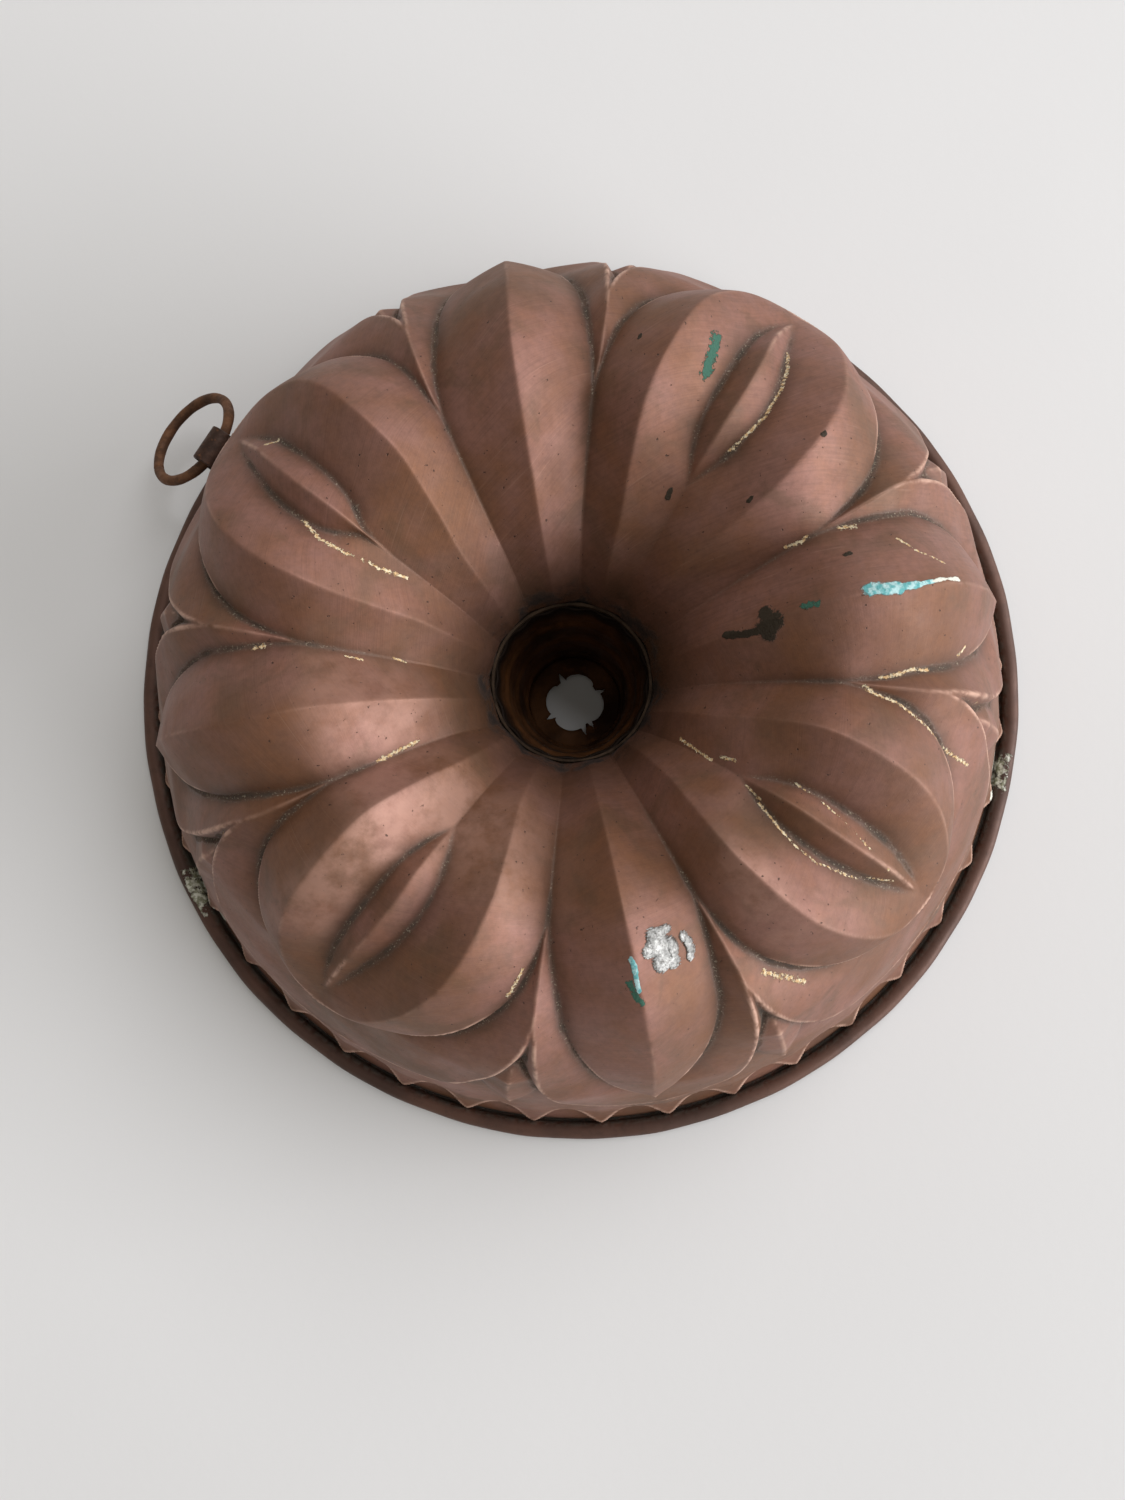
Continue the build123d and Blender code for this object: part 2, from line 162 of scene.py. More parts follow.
def monotone(table):
    """A smooth curve through {x: y} that never overshoots its points."""
    xs = np.array(sorted(table), float)
    ys = np.array([table[x] for x in sorted(table)], float)
    steps = np.diff(xs)
    slopes = np.diff(ys) / steps
    tangents = np.zeros(len(xs))
    for i in range(1, len(xs) - 1):
        if slopes[i - 1] * slopes[i] > 0:
            near = 2 * steps[i] + steps[i - 1]
            far = steps[i] + 2 * steps[i - 1]
            tangents[i] = (near + far) / (near / slopes[i - 1] + far / slopes[i])
    tangents[0] = slopes[0]
    tangents[-1] = slopes[-1]

    def at(x):
        x = np.clip(x, xs[0], xs[-1])
        i = np.clip(np.searchsorted(xs, x, side="right") - 1, 0, len(steps) - 1)
        t = (x - xs[i]) / steps[i]
        start = ys[i] * (1 + 2 * t) * (1 - t) ** 2 + tangents[i] * steps[i] * t * (1 - t) ** 2
        end = ys[i + 1] * t**2 * (3 - 2 * t) + tangents[i + 1] * steps[i] * t**2 * (t - 1)
        return start + end

    return at


def natural_spline(xs, ys):
    """A cubic spline with even curvature through every point."""
    xs = np.array(xs, float)
    ys = np.array(ys, float)
    steps = np.diff(xs)
    count = len(xs)
    matrix = np.eye(count)
    right = np.zeros(count)
    for i in range(1, count - 1):
        matrix[i, i - 1 : i + 2] = steps[i - 1], 2 * (steps[i - 1] + steps[i]), steps[i]
        turn = (ys[i + 1] - ys[i]) / steps[i] - (ys[i] - ys[i - 1]) / steps[i - 1]
        right[i] = 6 * turn
    bends = np.linalg.solve(matrix, right)

    def at(x):
        i = np.clip(np.searchsorted(xs, x, side="right") - 1, 0, count - 2)
        h = steps[i]
        a = (xs[i + 1] - x) / h
        b = (x - xs[i]) / h
        curve = ((a**3 - a) * bends[i] + (b**3 - b) * bends[i + 1]) * h**2 / 6
        return a * ys[i] + b * ys[i + 1] + curve

    return at


def smooth_step(low, high, x):
    """0 below low, 1 above high, and a soft rise between."""
    t = np.clip((x - low) / (high - low), 0, 1)
    return t * t * (3 - 2 * t)


def apart(azimuths, azimuth):
    """Degrees between azimuths, the short way round."""
    return np.abs((azimuths - azimuth + 180) % 360 - 180)


def softened(distance, radius=CREASE_R):
    """A distance whose point at nought is rounded off."""
    return np.sqrt(distance**2 + radius**2) - radius


def join(first, second, radius=JOIN_R):
    """The lesser of two depths, with a small fillet where they meet."""
    near = np.clip(1 - np.abs(first - second) / radius, 0, 1)
    return np.minimum(first, second) - near**2 * radius / 4


# -------------------- shell relief


envelope_stations = [row[0] for row in ENVELOPE]
envelope_r = natural_spline(envelope_stations, [row[1] for row in ENVELOPE])
envelope_z = natural_spline(envelope_stations, [row[2] for row in ENVELOPE])


def envelope_normal(stations):
    """Unit normal (out, up) of the envelope."""
    small = 0.01
    out = envelope_r(stations + small) - envelope_r(stations - small)
    up = envelope_z(stations + small) - envelope_z(stations - small)
    length = np.hypot(out, up)
    return up / length, -out / length


def travel(stations):
    """Length along the envelope at each station, which must rise."""
    r = envelope_r(stations)
    z = envelope_z(stations)
    return np.concatenate([[0], np.cumsum(np.hypot(np.diff(r), np.diff(z)))])


def drift_at(stations, azimuths):
    """How far the pattern is turned at every place, from the drifts of the two nearest petals."""
    petals = [monotone(dict(zip(DRIFT_STATIONS, drifts)))(stations) for drifts in PETAL_DRIFT]
    petals = np.array(petals).T
    position = (azimuths % 360) / PETAL_PITCH
    before = position.astype(int) % len(PETAL_DRIFT)
    after = (before + 1) % len(PETAL_DRIFT)
    share = (position - before)[None, :]
    return petals[:, before] * (1 - share) + petals[:, after] * share


class Relief:
    """How deep the shell lies under its envelope, on a grid of stations and azimuths."""

    def __init__(self, stations, azimuths):
        self.stations = stations
        self.along = travel(stations)
        self.degree = envelope_r(stations)[:, None] * math.pi / 180
        self.azimuths = azimuths[None, :]
        self.even = self.azimuths - drift_at(stations, azimuths)
        from_plain = np.abs((self.even + PETAL_PITCH) % (2 * PETAL_PITCH) - PETAL_PITCH)
        self.plain_side = from_plain * self.degree
        self.wide_side = (PETAL_PITCH - from_plain) * self.degree
        self.spike_side = np.abs(from_plain - SPIKE_AZIMUTH) * self.degree

    def line(self, table):
        """A table's smooth curve at every station, as a column."""
        return monotone(table)(self.stations)[:, None]

    def edge(self, table):
        """A half-width table in millimetres, as a column."""
        return self.line(table) * self.degree

    def outside(self, side, edge):
        """How far a place lies outside an edge line, at right angles to the line."""
        lean = np.gradient(edge[:, 0], self.along)[:, None]
        return np.clip((side - edge) / np.hypot(1, lean), 0, None)

    def facet(self, share):
        """A pressed face's fall, a little convex, from its ridge at 0 to its edge at 1."""
        return 0.85 * share + 0.15 * share**2

    def plain_petal(self):
        """Two faces that meet in one ridge."""
        edge = self.edge(PLAIN_EDGE)
        share = np.clip(softened(self.plain_side) / np.maximum(edge, CREASE_R), 0, 1)
        fall = self.facet(share) * self.line(PLAIN_DEPTH)
        return fall + PETAL_DROP * self.outside(self.plain_side, edge)

    def wide_petal(self):
        """Two ridges, with a hollow between them and a creased almond in the hollow."""
        edge = self.edge(WIDE_EDGE)
        ridge = np.maximum(self.edge(WIDE_RIDGE), 0)
        almond = np.maximum(self.almond_edge(), 0)
        side = self.wide_side
        off_ridge = softened(side - ridge)
        outer_share = np.clip(off_ridge / np.maximum(edge - ridge, CREASE_R), 0, 1)
        outer = self.facet(outer_share) * self.line(WIDE_DEPTH)
        inner_share = np.clip(off_ridge / np.maximum(ridge - almond, CREASE_R), 0, 1)
        hollow = self.line(HOLLOW_DEPTH)
        inner = self.facet(inner_share) * hollow
        petal = np.where(side > ridge, outer, inner)
        petal = petal + PETAL_DROP * self.outside(side, edge)
        lift = self.line(ALMOND_LIFT)
        across = softened(side) / np.maximum(almond, CREASE_R)
        raised = hollow - lift * (1 - across)
        beyond = PETAL_DROP * np.clip(side - almond, 0, None)
        raised = np.where(lift > 0.02, raised + beyond, petal + JOIN_R)
        return join(petal, raised)

    def almond_edge(self):
        """The almond's half-width at every place: one almond is shorter at its inner end."""
        edge = self.edge(ALMOND_EDGE)
        reach = np.clip((self.stations - SHORT_FROM) / SHORT_OVER, 0, 1) * SHORT_BY
        short = monotone(ALMOND_EDGE)(self.stations + reach)[:, None] * self.degree
        here = apart(self.even, SHORT_ALMOND_AZIMUTH) < PETAL_PITCH / 2
        return np.where(here, short, edge)

    def leaf(self, side, petal_table, edge_table):
        """A second leaf behind a petal: its face rises from the petal's foot to its own edge."""
        edge = self.edge(edge_table)
        petal = np.maximum(self.edge(petal_table), 0)
        off_edge = softened(side - edge)
        share = np.clip(off_edge / np.maximum(edge - petal, CREASE_R), 0, 1)
        face = self.line(LEAF_FALL) * share
        drop = LEAF_DROP * self.outside(side, edge)
        return self.line(LEAF_DEPTH) + np.where(side > edge, drop, face)

    def straight(self, table):
        """A table joined by straight lines, as a column."""
        return np.interp(self.stations, list(table), list(table.values()))[:, None]

    def spike(self):
        """The small pyramid at the foot of each valley."""
        edge = self.straight(SPIKE_EDGE) * self.degree
        fall = SPIKE_PITCH * softened(self.spike_side)
        ridge = self.straight(SPIKE_RIDGE)
        return ridge + fall + PETAL_DROP * self.outside(self.spike_side, edge)

    def band(self):
        """What the zigzag foot adds: teeth over a recess, and faint pressed diamonds above."""
        swing = np.abs(((self.azimuths + TOOTH_PHASE) * TEETH / 360) % 1 * 2 - 1)
        station = self.stations[:, None]
        tooth_line = TOOTH_FOOT_STATION + (TOOTH_TOP_STATION - TOOTH_FOOT_STATION) * swing
        below = smooth_step(-0.03, 0.06, tooth_line - station)
        facet = np.clip(1 - swing - np.abs(station - TOOTH_TOP_STATION), 0, 1)
        return TOOTH_DEPTH * below - FACET_RELIEF * facet

    def dents(self):
        """Low waves all over the sheet, none at the foot and the mouth."""
        turn = np.radians(self.azimuths)
        total = 0
        for height, round_count, along_count, phase in DENTS:
            wave = np.sin(round_count * turn + phase)
            total = total + height * wave * np.sin(along_count * self.stations[:, None] + phase)
        ends = smooth_step(0, 2, self.stations) * smooth_step(MOUTH_STATION, 14, self.stations)
        return total * ends[:, None]

    def depth(self):
        """The whole relief."""
        floor = join(self.line(FLOOR_DEPTH), self.spike())
        plain_leaf = self.leaf(self.plain_side, PLAIN_EDGE, PLAIN_LEAF_EDGE)
        wide_leaf = self.leaf(self.wide_side, WIDE_EDGE, WIDE_LEAF_EDGE)
        petals = join(self.plain_petal(), self.wide_petal())
        whole = join(join(floor, join(plain_leaf, wide_leaf)), petals)
        return whole + self.band() + self.dents()


def place(stations, azimuths, depth):
    """Points in millimetres for stations and azimuths at a depth under the envelope."""
    out, up = envelope_normal(stations)
    r = envelope_r(stations)[:, None] - depth * out[:, None]
    z = envelope_z(stations)[:, None] - depth * up[:, None]
    inner = smooth_step(CREST_STATION, MOUTH_STATION, stations)[:, None]
    turn = np.radians(azimuths)[None, :]
    x = r * np.cos(turn) + TUBE_SHIFT[0] * inner
    y = r * np.sin(turn) + TUBE_SHIFT[1] * inner
    return np.stack([x, y, np.broadcast_to(z, x.shape)], axis=-1)


def shell_rows(share):
    """Stations of the shell's rows: close on the outside, wider apart inside."""
    fine = np.linspace(FOOT_STATION, MOUTH_STATION, 4000)
    length = travel(fine)
    crest = np.interp(CREST_STATION + 1, fine, length)
    outer = np.arange(0, crest, OUTER_STEP / share)
    inner = np.linspace(crest, length[-1], int((length[-1] - crest) * share / INNER_STEP))
    return np.interp(np.concatenate([outer, inner]), length, fine)


def blurred(values, rows, columns):
    """A box average over 2 * rows + 1 by 2 * columns + 1 places, closed round the mould."""
    padded = np.pad(values, ((rows, rows), (0, 0)), mode="edge")
    padded = np.pad(padded, ((0, 0), (columns, columns)), mode="wrap")
    for axis, reach in ((0, rows), (1, columns)):
        sums = np.cumsum(padded, axis=axis)
        sums = np.insert(sums, 0, 0, axis=axis)
        span = 2 * reach + 1
        high = np.take(sums, np.arange(span, sums.shape[axis]), axis=axis)
        low = np.take(sums, np.arange(0, sums.shape[axis] - span), axis=axis)
        padded = (high - low) / span
    return padded


# -------------------- mesh tools


def grid_quads(rows, columns, close_rows):
    """Quads of a grid that is closed across its columns, and along its rows if asked."""
    last = rows if close_rows else rows - 1
    i = np.arange(last)[:, None]
    j = np.arange(columns)[None, :]
    up = (i + 1) % rows
    on = (j + 1) % columns
    corners = [i * columns + j, i * columns + on, up * columns + on, up * columns + j]
    return np.stack(np.broadcast_arrays(*corners), axis=-1).reshape(-1, 4)


def put(name, data):
    """An object in the scene that shows a mesh, a lamp or a camera."""
    thing = bpy.data.objects.new(name, data)
    bpy.context.scene.collection.objects.link(thing)
    return thing


def add_piece(name, points, quads, materials, body, nodes=()):
    """A smooth mesh in metres that rides on a body and may stand for CAD nodes."""
    mesh = bpy.data.meshes.new(name)
    flat = (np.asarray(points, float).ravel() * MM).astype(np.float32)
    mesh.vertices.add(len(flat) // 3)
    mesh.vertices.foreach_set("co", flat)
    mesh.loops.add(quads.size)
    mesh.loops.foreach_set("vertex_index", quads.ravel().astype(np.int32))
    mesh.polygons.add(len(quads))
    mesh.polygons.foreach_set("loop_start", np.arange(0, quads.size, 4, dtype=np.int32))
    mesh.update(calc_edges=True)
    mesh.polygons.foreach_set("use_smooth", np.ones(len(mesh.polygons), bool))
    for material in materials:
        mesh.materials.append(material)
    piece = put(name, mesh)
    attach(piece, body)
    if nodes:
        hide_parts(*nodes)
    return piece


def add_values(piece, name, values):
    """Stores one number per vertex for the materials."""
    attribute = piece.data.attributes.new(name, "FLOAT", "POINT")
    attribute.data.foreach_set("value", np.asarray(values, np.float32).ravel())


def near_path(points, path, reach):
    """1 on a path, falling evenly to 0 a reach away from it."""
    flat = points.reshape(-1, 3)
    best = np.full(len(flat), np.inf)
    path = [np.asarray(p, float) for p in path]
    for start, end in zip(path, path[1:]):
        middle = (start + end) / 2
        radius = np.linalg.norm(end - start) / 2 + reach
        near = np.nonzero(np.all(np.abs(flat - middle) < radius, axis=1))[0]
        run = end - start
        share = np.clip((flat[near] - start) @ run / max(run @ run, 1e-9), 0, 1)
        gap = np.linalg.norm(flat[near] - start - share[:, None] * run, axis=1)
        best[near] = np.minimum(best[near], gap)
    return np.clip(1 - best / reach, 0, 1).reshape(points.shape[:-1])


def lathe(profile, columns, middle=(0.0, 0.0), wobble=None):
    """Points of a closed (radius, height) profile turned about an upright axis."""
    turn = np.linspace(0, 2 * math.pi, columns, endpoint=False)[None, :]
    r = np.array([p[0] for p in profile])[:, None] + 0 * turn
    z = np.array([p[1] for p in profile])[:, None] + 0 * turn
    if wobble:
        r, z = wobble(r, z, turn)
    return np.stack([middle[0] + r * np.cos(turn), middle[1] + r * np.sin(turn), z], axis=-1)


def resampled(corners, step):
    """Extra points along a polyline, no further apart than a step."""
    found = []
    for start, end in zip(corners, corners[1:]):
        count = max(1, math.ceil(math.dist(start, end) / step))
        for k in range(count):
            share = k / count
            found.append(tuple(a + (b - a) * share for a, b in zip(start, end)))
    return found + [corners[-1]]


# -------------------- materials


# Places of the Mix node's inputs and output when it mixes colours.
MIX_SHARE = 0
MIX_FIRST = 6
MIX_SECOND = 7
MIX_RESULT = 2


class Look:
    """A material under construction: each method adds nodes and returns an output."""

    def __init__(self, name):
        self.material = bpy.data.materials.new(name)
        self.material.use_nodes = True
        self.tree = self.material.node_tree
        self.tree.nodes.clear()
        self.place = self.add("TexCoord").outputs["Object"]

    def add(self, kind, settings=None, inputs=None):
        """A node. Each of its inputs is given another node's output, or a value."""
        node = self.tree.nodes.new("ShaderNode" + kind)
        for key, value in (settings or {}).items():
            setattr(node, key, value)
        for key, value in (inputs or {}).items():
            socket = node.inputs[key]
            if isinstance(value, bpy.types.NodeSocket):
                self.tree.links.new(value, socket)
            elif socket.type == "RGBA":
                socket.default_value = (*value, 1)
            else:
                socket.default_value = value
        return node

    def noise(self, size_mm, detail=4.0, roughness=0.55, warp=0.0):
        """Soft noise from 0 to 1 whose blots are about a size across."""
        inputs = {"Vector": self.place, "Scale": 1 / (size_mm * MM), "Detail": detail}
        inputs.update({"Roughness": roughness, "Distortion": warp})
        return self.add("TexNoise", None, inputs).outputs["Fac"]

    def brushing(self, size_mm):
        """Noise drawn out along the petals, from the places stored at the vertices."""
        inputs = {"X": self.stored("around"), "Y": self.stored("along")}
        place = self.add("CombineXYZ", None, inputs).outputs["Vector"]
        inputs = {"Vector": place, "Scale": 1 / size_mm, "Detail": 3.0, "Roughness": 0.6}
        return self.add("TexNoise", None, inputs).outputs["Fac"]

    def between(self, value, low, high, out_low=0.0, out_high=1.0):
        """A value's share of the way from low to high, kept within the two outputs."""
        settings = {"clamp": True, "interpolation_type": "SMOOTHSTEP"}
        inputs = {"Value": value, "From Min": low, "From Max": high}
        inputs.update({"To Min": out_low, "To Max": out_high})
        return self.add("MapRange", settings, inputs).outputs["Result"]

    def maths(self, operation, first, second):
        """One operation on two numbers."""
        return self.add("Math", {"operation": operation}, {0: first, 1: second}).outputs[0]

    def times(self, first, second):
        """A product."""
        return self.maths("MULTIPLY", first, second)

    def mix(self, share, first, second):
        """Colours mixed by a share."""
        settings = {"data_type": "RGBA", "clamp_factor": True}
        inputs = {MIX_SHARE: share, MIX_FIRST: first, MIX_SECOND: second}
        return self.add("Mix", settings, inputs).outputs[MIX_RESULT]

    def coats(self, colour, *coats):
        """A colour under coats of others, each given as (share, colour)."""
        for share, coat in coats:
            colour = self.mix(share, colour, coat)
        return colour

    def most(self, first, *others):
        """The greatest of several numbers."""
        for other in others:
            first = self.maths("MAXIMUM", first, other)
        return first

    def stored(self, name):
        """A number stored at the vertices."""
        return self.add("Attribute", {"attribute_name": name}).outputs["Fac"]

    def two_tone(self, size_mm, first, second, detail=5, roughness=0.6, warp=0.0):
        """Two colours in broad, soft blots."""
        blots = self.noise(size_mm, detail, roughness, warp)
        return self.mix(self.between(blots, 0.35, 0.65), first, second)

    def uneven(self, size_mm, low, high, detail=4):
        """A number that wanders between two others."""
        return self.between(self.noise(size_mm, detail), 0.3, 0.7, low, high)

    def patch(self, name, size_mm, breaking):
        """A stored mark with a natural edge, the more broken up the higher the last value."""
        stored = self.stored(name)
        reach = self.maths("ADD", stored, self.times(self.noise(size_mm, 6, 0.7), breaking))
        edge = 0.45 + breaking / 2
        return self.times(self.between(reach, edge, edge + 0.15), self.between(stored, 0.02, 0.15))

    def flecks(self, name, size_mm):
        """A stored mark broken up into fine flecks, close in its middle and few at its edge."""
        stored = self.stored(name)
        reach = self.maths("ADD", stored, self.times(self.noise(size_mm, 4, 0.7), 2.2))
        return self.times(self.between(reach, 1.70, 1.90), self.between(stored, 0.02, 0.15))

    def finish(self, colour, metallic, roughness, bumps, **fixed):
        """The shader itself, with its bumps (height, distance in mm) laid over each other."""
        inputs = {"Base Color": colour, "Metallic": metallic, "Roughness": roughness}
        inputs.update({key.replace("_", " "): value for key, value in fixed.items()})
        normal = None
        for height, distance in bumps:
            bump = {"Height": height, "Distance": distance * MM, "Strength": 1.0}
            if normal:
                bump["Normal"] = normal
            normal = self.add("Bump", None, bump).outputs["Normal"]
        if normal:
            inputs["Normal"] = normal
        shader = self.add("BsdfPrincipled", None, inputs)
        self.add("OutputMaterial", None, {"Surface": shader.outputs[0]})
        return self.material


COPPER_PINK = (0.262, 0.128, 0.097)
COPPER_BROWN = (0.178, 0.083, 0.046)
COPPER_ORANGE = (0.220, 0.084, 0.028)
COPPER_OLIVE = (0.115, 0.067, 0.037)
COPPER_DARK = (0.040, 0.021, 0.014)
# Painted shade colours: broad hollows darkened, and the mouth nearly black.
COPPER_SHADE = (0.050, 0.023, 0.010)
MOUTH_SHADE = (0.010, 0.006, 0.004)
COPPER_WORN = (0.50, 0.31, 0.23)
# Painted highlight: a paler copper laid on facets that should look lit.
COPPER_PAINTED_LIGHT = (0.40, 0.225, 0.17)
GREY_DUST = (0.050, 0.040, 0.030)
PALE_SPECK = (0.34, 0.29, 0.21)
POLISH_GOLD = (0.56, 0.36, 0.17)
POLISH_CREAM = (0.72, 0.62, 0.42)
VERDIGRIS = (0.12, 0.39, 0.40)
VERDIGRIS_PALE = (0.42, 0.64, 0.64)
VERDIGRIS_DARK = (0.035, 0.115, 0.078)
SCAB = (0.028, 0.019, 0.009)
PALE_CRUST = (0.66, 0.66, 0.57)
DARK_CRUST = (0.22, 0.22, 0.14)
TIN_PALE = (0.46, 0.45, 0.42)
TIN_GREY = (0.27, 0.25, 0.22)
RIM_BROWN = (0.115, 0.056, 0.038)
RIM_DARK = (0.066, 0.034, 0.024)
RIM_DUST = (0.05, 0.045, 0.035)
# Heights in metres over which painted shade darkens the chimney towards its mouth.
MOUTH_SHADE_HEIGHTS_M = (0.037, 0.0445)
TUBE_BROWN = (0.085, 0.034, 0.012)
TUBE_DARK = (0.026, 0.011, 0.005)
TUBE_ORANGE = (0.13, 0.048, 0.014)
STRAP_BROWN = (0.085, 0.042, 0.027)
STRAP_DARK = (0.042, 0.022, 0.015)
STRAP_RUST = (0.2, 0.085, 0.04)
RUST_BROWN = (0.150, 0.062, 0.024)
RUST_DARK = (0.080, 0.036, 0.017)
RUST_ORANGE = (0.24, 0.095, 0.025)
SOLDER_PALE = (0.50, 0.50, 0.48)
SOLDER_GREY = (0.22, 0.22, 0.21)
SOLDER_DARK = (0.13, 0.125, 0.11)
FILLET_BROWN = (0.052, 0.034, 0.022)
FILLET_DARK = (0.022, 0.014, 0.009)
FLOOR_PALE = (0.70, 0.70, 0.695)
FLOOR_GREY = (0.675, 0.675, 0.67)


def copper_ground(look):
    """Old copper before its marks: pink, with brown, orange and olive in it, and brushed."""
    broad = look.between(look.noise(38, 3, 0.5, warp=0.4), 0.36, 0.64)
    mottle = look.between(look.noise(9, 5, 0.6), 0.35, 0.7)
    return look.coats(
        COPPER_PINK,
        (broad, COPPER_BROWN),
        (look.times(mottle, 0.35), COPPER_ORANGE),
        (look.between(look.noise(17, 5, 0.6, warp=0.6), 0.50, 0.66, 0.0, 0.42), COPPER_OLIVE),
        (look.between(look.noise(1.6, 6, 0.75), 0.3, 0.8, 0.0, 0.28), COPPER_DARK),
        (look.between(look.brushing(0.55), 0.42, 0.70, 0.0, 0.17), COPPER_DARK),
        (look.between(look.brushing(0.9), 0.60, 0.76, 0.0, 0.13), COPPER_WORN),
    )


def make_old_copper():
    """The shell's outside, with grime, wear, polish residue, verdigris, scratches, painted shade in
    its valleys and towards its mouth, and painted highlight on some facets.
    """
    look = Look("old_copper")
    # Blots that break up the painted highlight.
    painted_light = look.between(look.noise(8, 5, 0.65), 0.30, 0.62, 0.05, 0.45)
    # Painted shade: the copper darkens towards the deep mouth, nearly black at its bottom.
    shade_blots = look.between(look.noise(6, 4, 0.6), 0.32, 0.68, 0.80, 1.0)
    deep = look.times(look.stored("inward"), shade_blots)
    mouth_shade = look.between(deep, 0.78, 1.0, 0.0, 0.9)
    dust = look.times(look.stored("grime"), look.between(look.noise(5), 0.35, 0.65, 0.45, 1.0))
    specks = look.times(look.stored("grime"), look.between(look.noise(0.5, 2, 0.6), 0.60, 0.68))
    pits = look.between(look.noise(1.1, 2, 0.5), 0.24, 0.29, 1.0, 0.0)
    polish = look.mix(look.between(look.noise(0.8), 0.4, 0.6), POLISH_GOLD, POLISH_CREAM)
    green = look.mix(look.between(look.noise(1.6), 0.42, 0.6), VERDIGRIS, VERDIGRIS_PALE)
    # Wear and dust, with painted highlight on some facets and painted shade in the valleys and
    # towards the mouth.
    age_and_painted_light = (
        (look.times(look.stored("painted_light"), painted_light), COPPER_PAINTED_LIGHT),
        (look.times(deep, 0.82), COPPER_SHADE),
        (mouth_shade, MOUTH_SHADE),
        (look.times(look.stored("valley_shade"), 0.55), COPPER_SHADE),
        (look.times(look.stored("worn"), look.between(look.noise(4, 4), 0.3, 0.6)), COPPER_WORN),
        (look.times(dust, 0.85), GREY_DUST),
        (look.times(specks, 0.7), PALE_SPECK),
        (look.times(pits, 0.8), COPPER_DARK),
    )
    marks = (
        (look.flecks("residue", 0.7), polish),
        (look.patch("verdigris", 2.0, 0.9), green),
        (look.patch("dark_green", 1.1, 2.2), VERDIGRIS_DARK),
        (look.patch("scab", 1.6, 1.0), SCAB),
        (look.patch("crust", 3.0, 2.4), PALE_CRUST),
    )
    ground = look.coats(copper_ground(look), *age_and_painted_light, *marks)
    cover = look.most(dust, mouth_shade, *[share for share, _ in marks])
    metallic = look.between(cover, 0.0, 0.6, 0.34, 0.0)
    roughness = look.between(look.noise(14, 5, 0.65), 0.3, 0.7, 0.49, 0.63)
    roughness = look.most(roughness, look.between(cover, 0.1, 0.6, 0.0, 0.85))
    crust = look.times(look.noise(0.9, 4, 0.7), cover)
    bumps = ((look.noise(5.0, 3), 0.10), (look.brushing(0.4), 0.025), (pits, -0.08), (crust, 0.35))
    return look.finish(ground, metallic, roughness, bumps, Specular_IOR_Level=0.42)


def make_tin_lining():
    """Tarnished tin on the shell's inside."""
    look = Look("tin_lining")
    colour = look.two_tone(22, TIN_PALE, TIN_GREY, warp=0.5)
    rubbed = look.between(look.noise(7, 6, 0.7), 0.58, 0.7)
    colour = look.mix(look.times(rubbed, 0.7), colour, COPPER_BROWN)
    return look.finish(colour, 0.9, look.uneven(9, 0.36, 0.55), ((look.noise(3, 4), 0.08),))


def make_rim_copper():
    """The rolled rim: darker, dull, with pale corrosion in places."""
    look = Look("rim_copper")
    colour = look.two_tone(30, RIM_BROWN, RIM_DARK, 4, 0.55)
    dark = look.between(look.noise(3, 5, 0.7), 0.5, 0.75, 0, 0.5)
    dust = look.times(look.stored("grime"), look.between(look.noise(2), 0.3, 0.6))
    pale = look.patch("crust", 3.0, 2.4)
    blotchy = look.mix(look.between(look.noise(1.2), 0.4, 0.6), PALE_CRUST, DARK_CRUST)
    colour = look.coats(colour, (dark, COPPER_DARK), (dust, RIM_DUST), (pale, blotchy))
    cover = look.most(pale, dust)
    metallic = look.between(cover, 0, 0.6, 0.40, 0)
    crust = look.times(look.noise(0.9, 4, 0.7), cover)
    bumps = ((look.noise(4, 4), 0.12), (look.noise(0.8, 3), 0.03), (crust, 0.4))
    return look.finish(colour, metallic, look.uneven(8, 0.50, 0.66, 5), bumps)


def make_tube_copper():
    """The chimney: dark brown and dull, with painted shade towards its mouth."""
    look = Look("tube_copper")
    colour = look.two_tone(14, TUBE_BROWN, TUBE_DARK, 4)
    rusty = look.between(look.noise(4, 5), 0.55, 0.75, 0, 0.6)
    height = look.add("SeparateXYZ", None, {"Vector": look.place}).outputs["Z"]
    # Painted shade: the chimney's top darkened to match the dark mouth.
    mouth_shade = look.between(height, *MOUTH_SHADE_HEIGHTS_M)
    colour = look.coats(colour, (rusty, TUBE_ORANGE), (mouth_shade, MOUTH_SHADE))
    bumps = ((look.noise(2.5, 4), 0.12),)
    return look.finish(colour, 0.1, look.uneven(6, 0.5, 0.75), bumps, Specular_IOR_Level=0.06)


def make_strap_metal():
    """Dark brown sheet of the lug, with rust in places."""
    look = Look("strap_metal")
    colour = look.two_tone(5, STRAP_BROWN, STRAP_DARK)
    colour = look.mix(look.between(look.noise(1.5, 5), 0.58, 0.72, 0, 0.7), colour, STRAP_RUST)
    bumps = ((look.noise(1.6, 5), 0.14), (look.noise(0.5, 3), 0.03))
    return look.finish(colour, 0.6, look.uneven(3, 0.45, 0.7), bumps)


def make_rusty_iron():
    """Wire with a thin, even coat of brown rust."""
    look = Look("rusty_iron")
    colour = look.two_tone(4, RUST_BROWN, RUST_DARK)
    bright = look.between(look.noise(1.2, 6, 0.75), 0.56, 0.72, 0, 0.75)
    colour = look.mix(bright, colour, RUST_ORANGE)
    bumps = ((look.noise(1.3, 6, 0.7), 0.22), (look.noise(0.4, 3), 0.05))
    return look.finish(colour, 0.35, look.uneven(2, 0.6, 0.85), bumps)


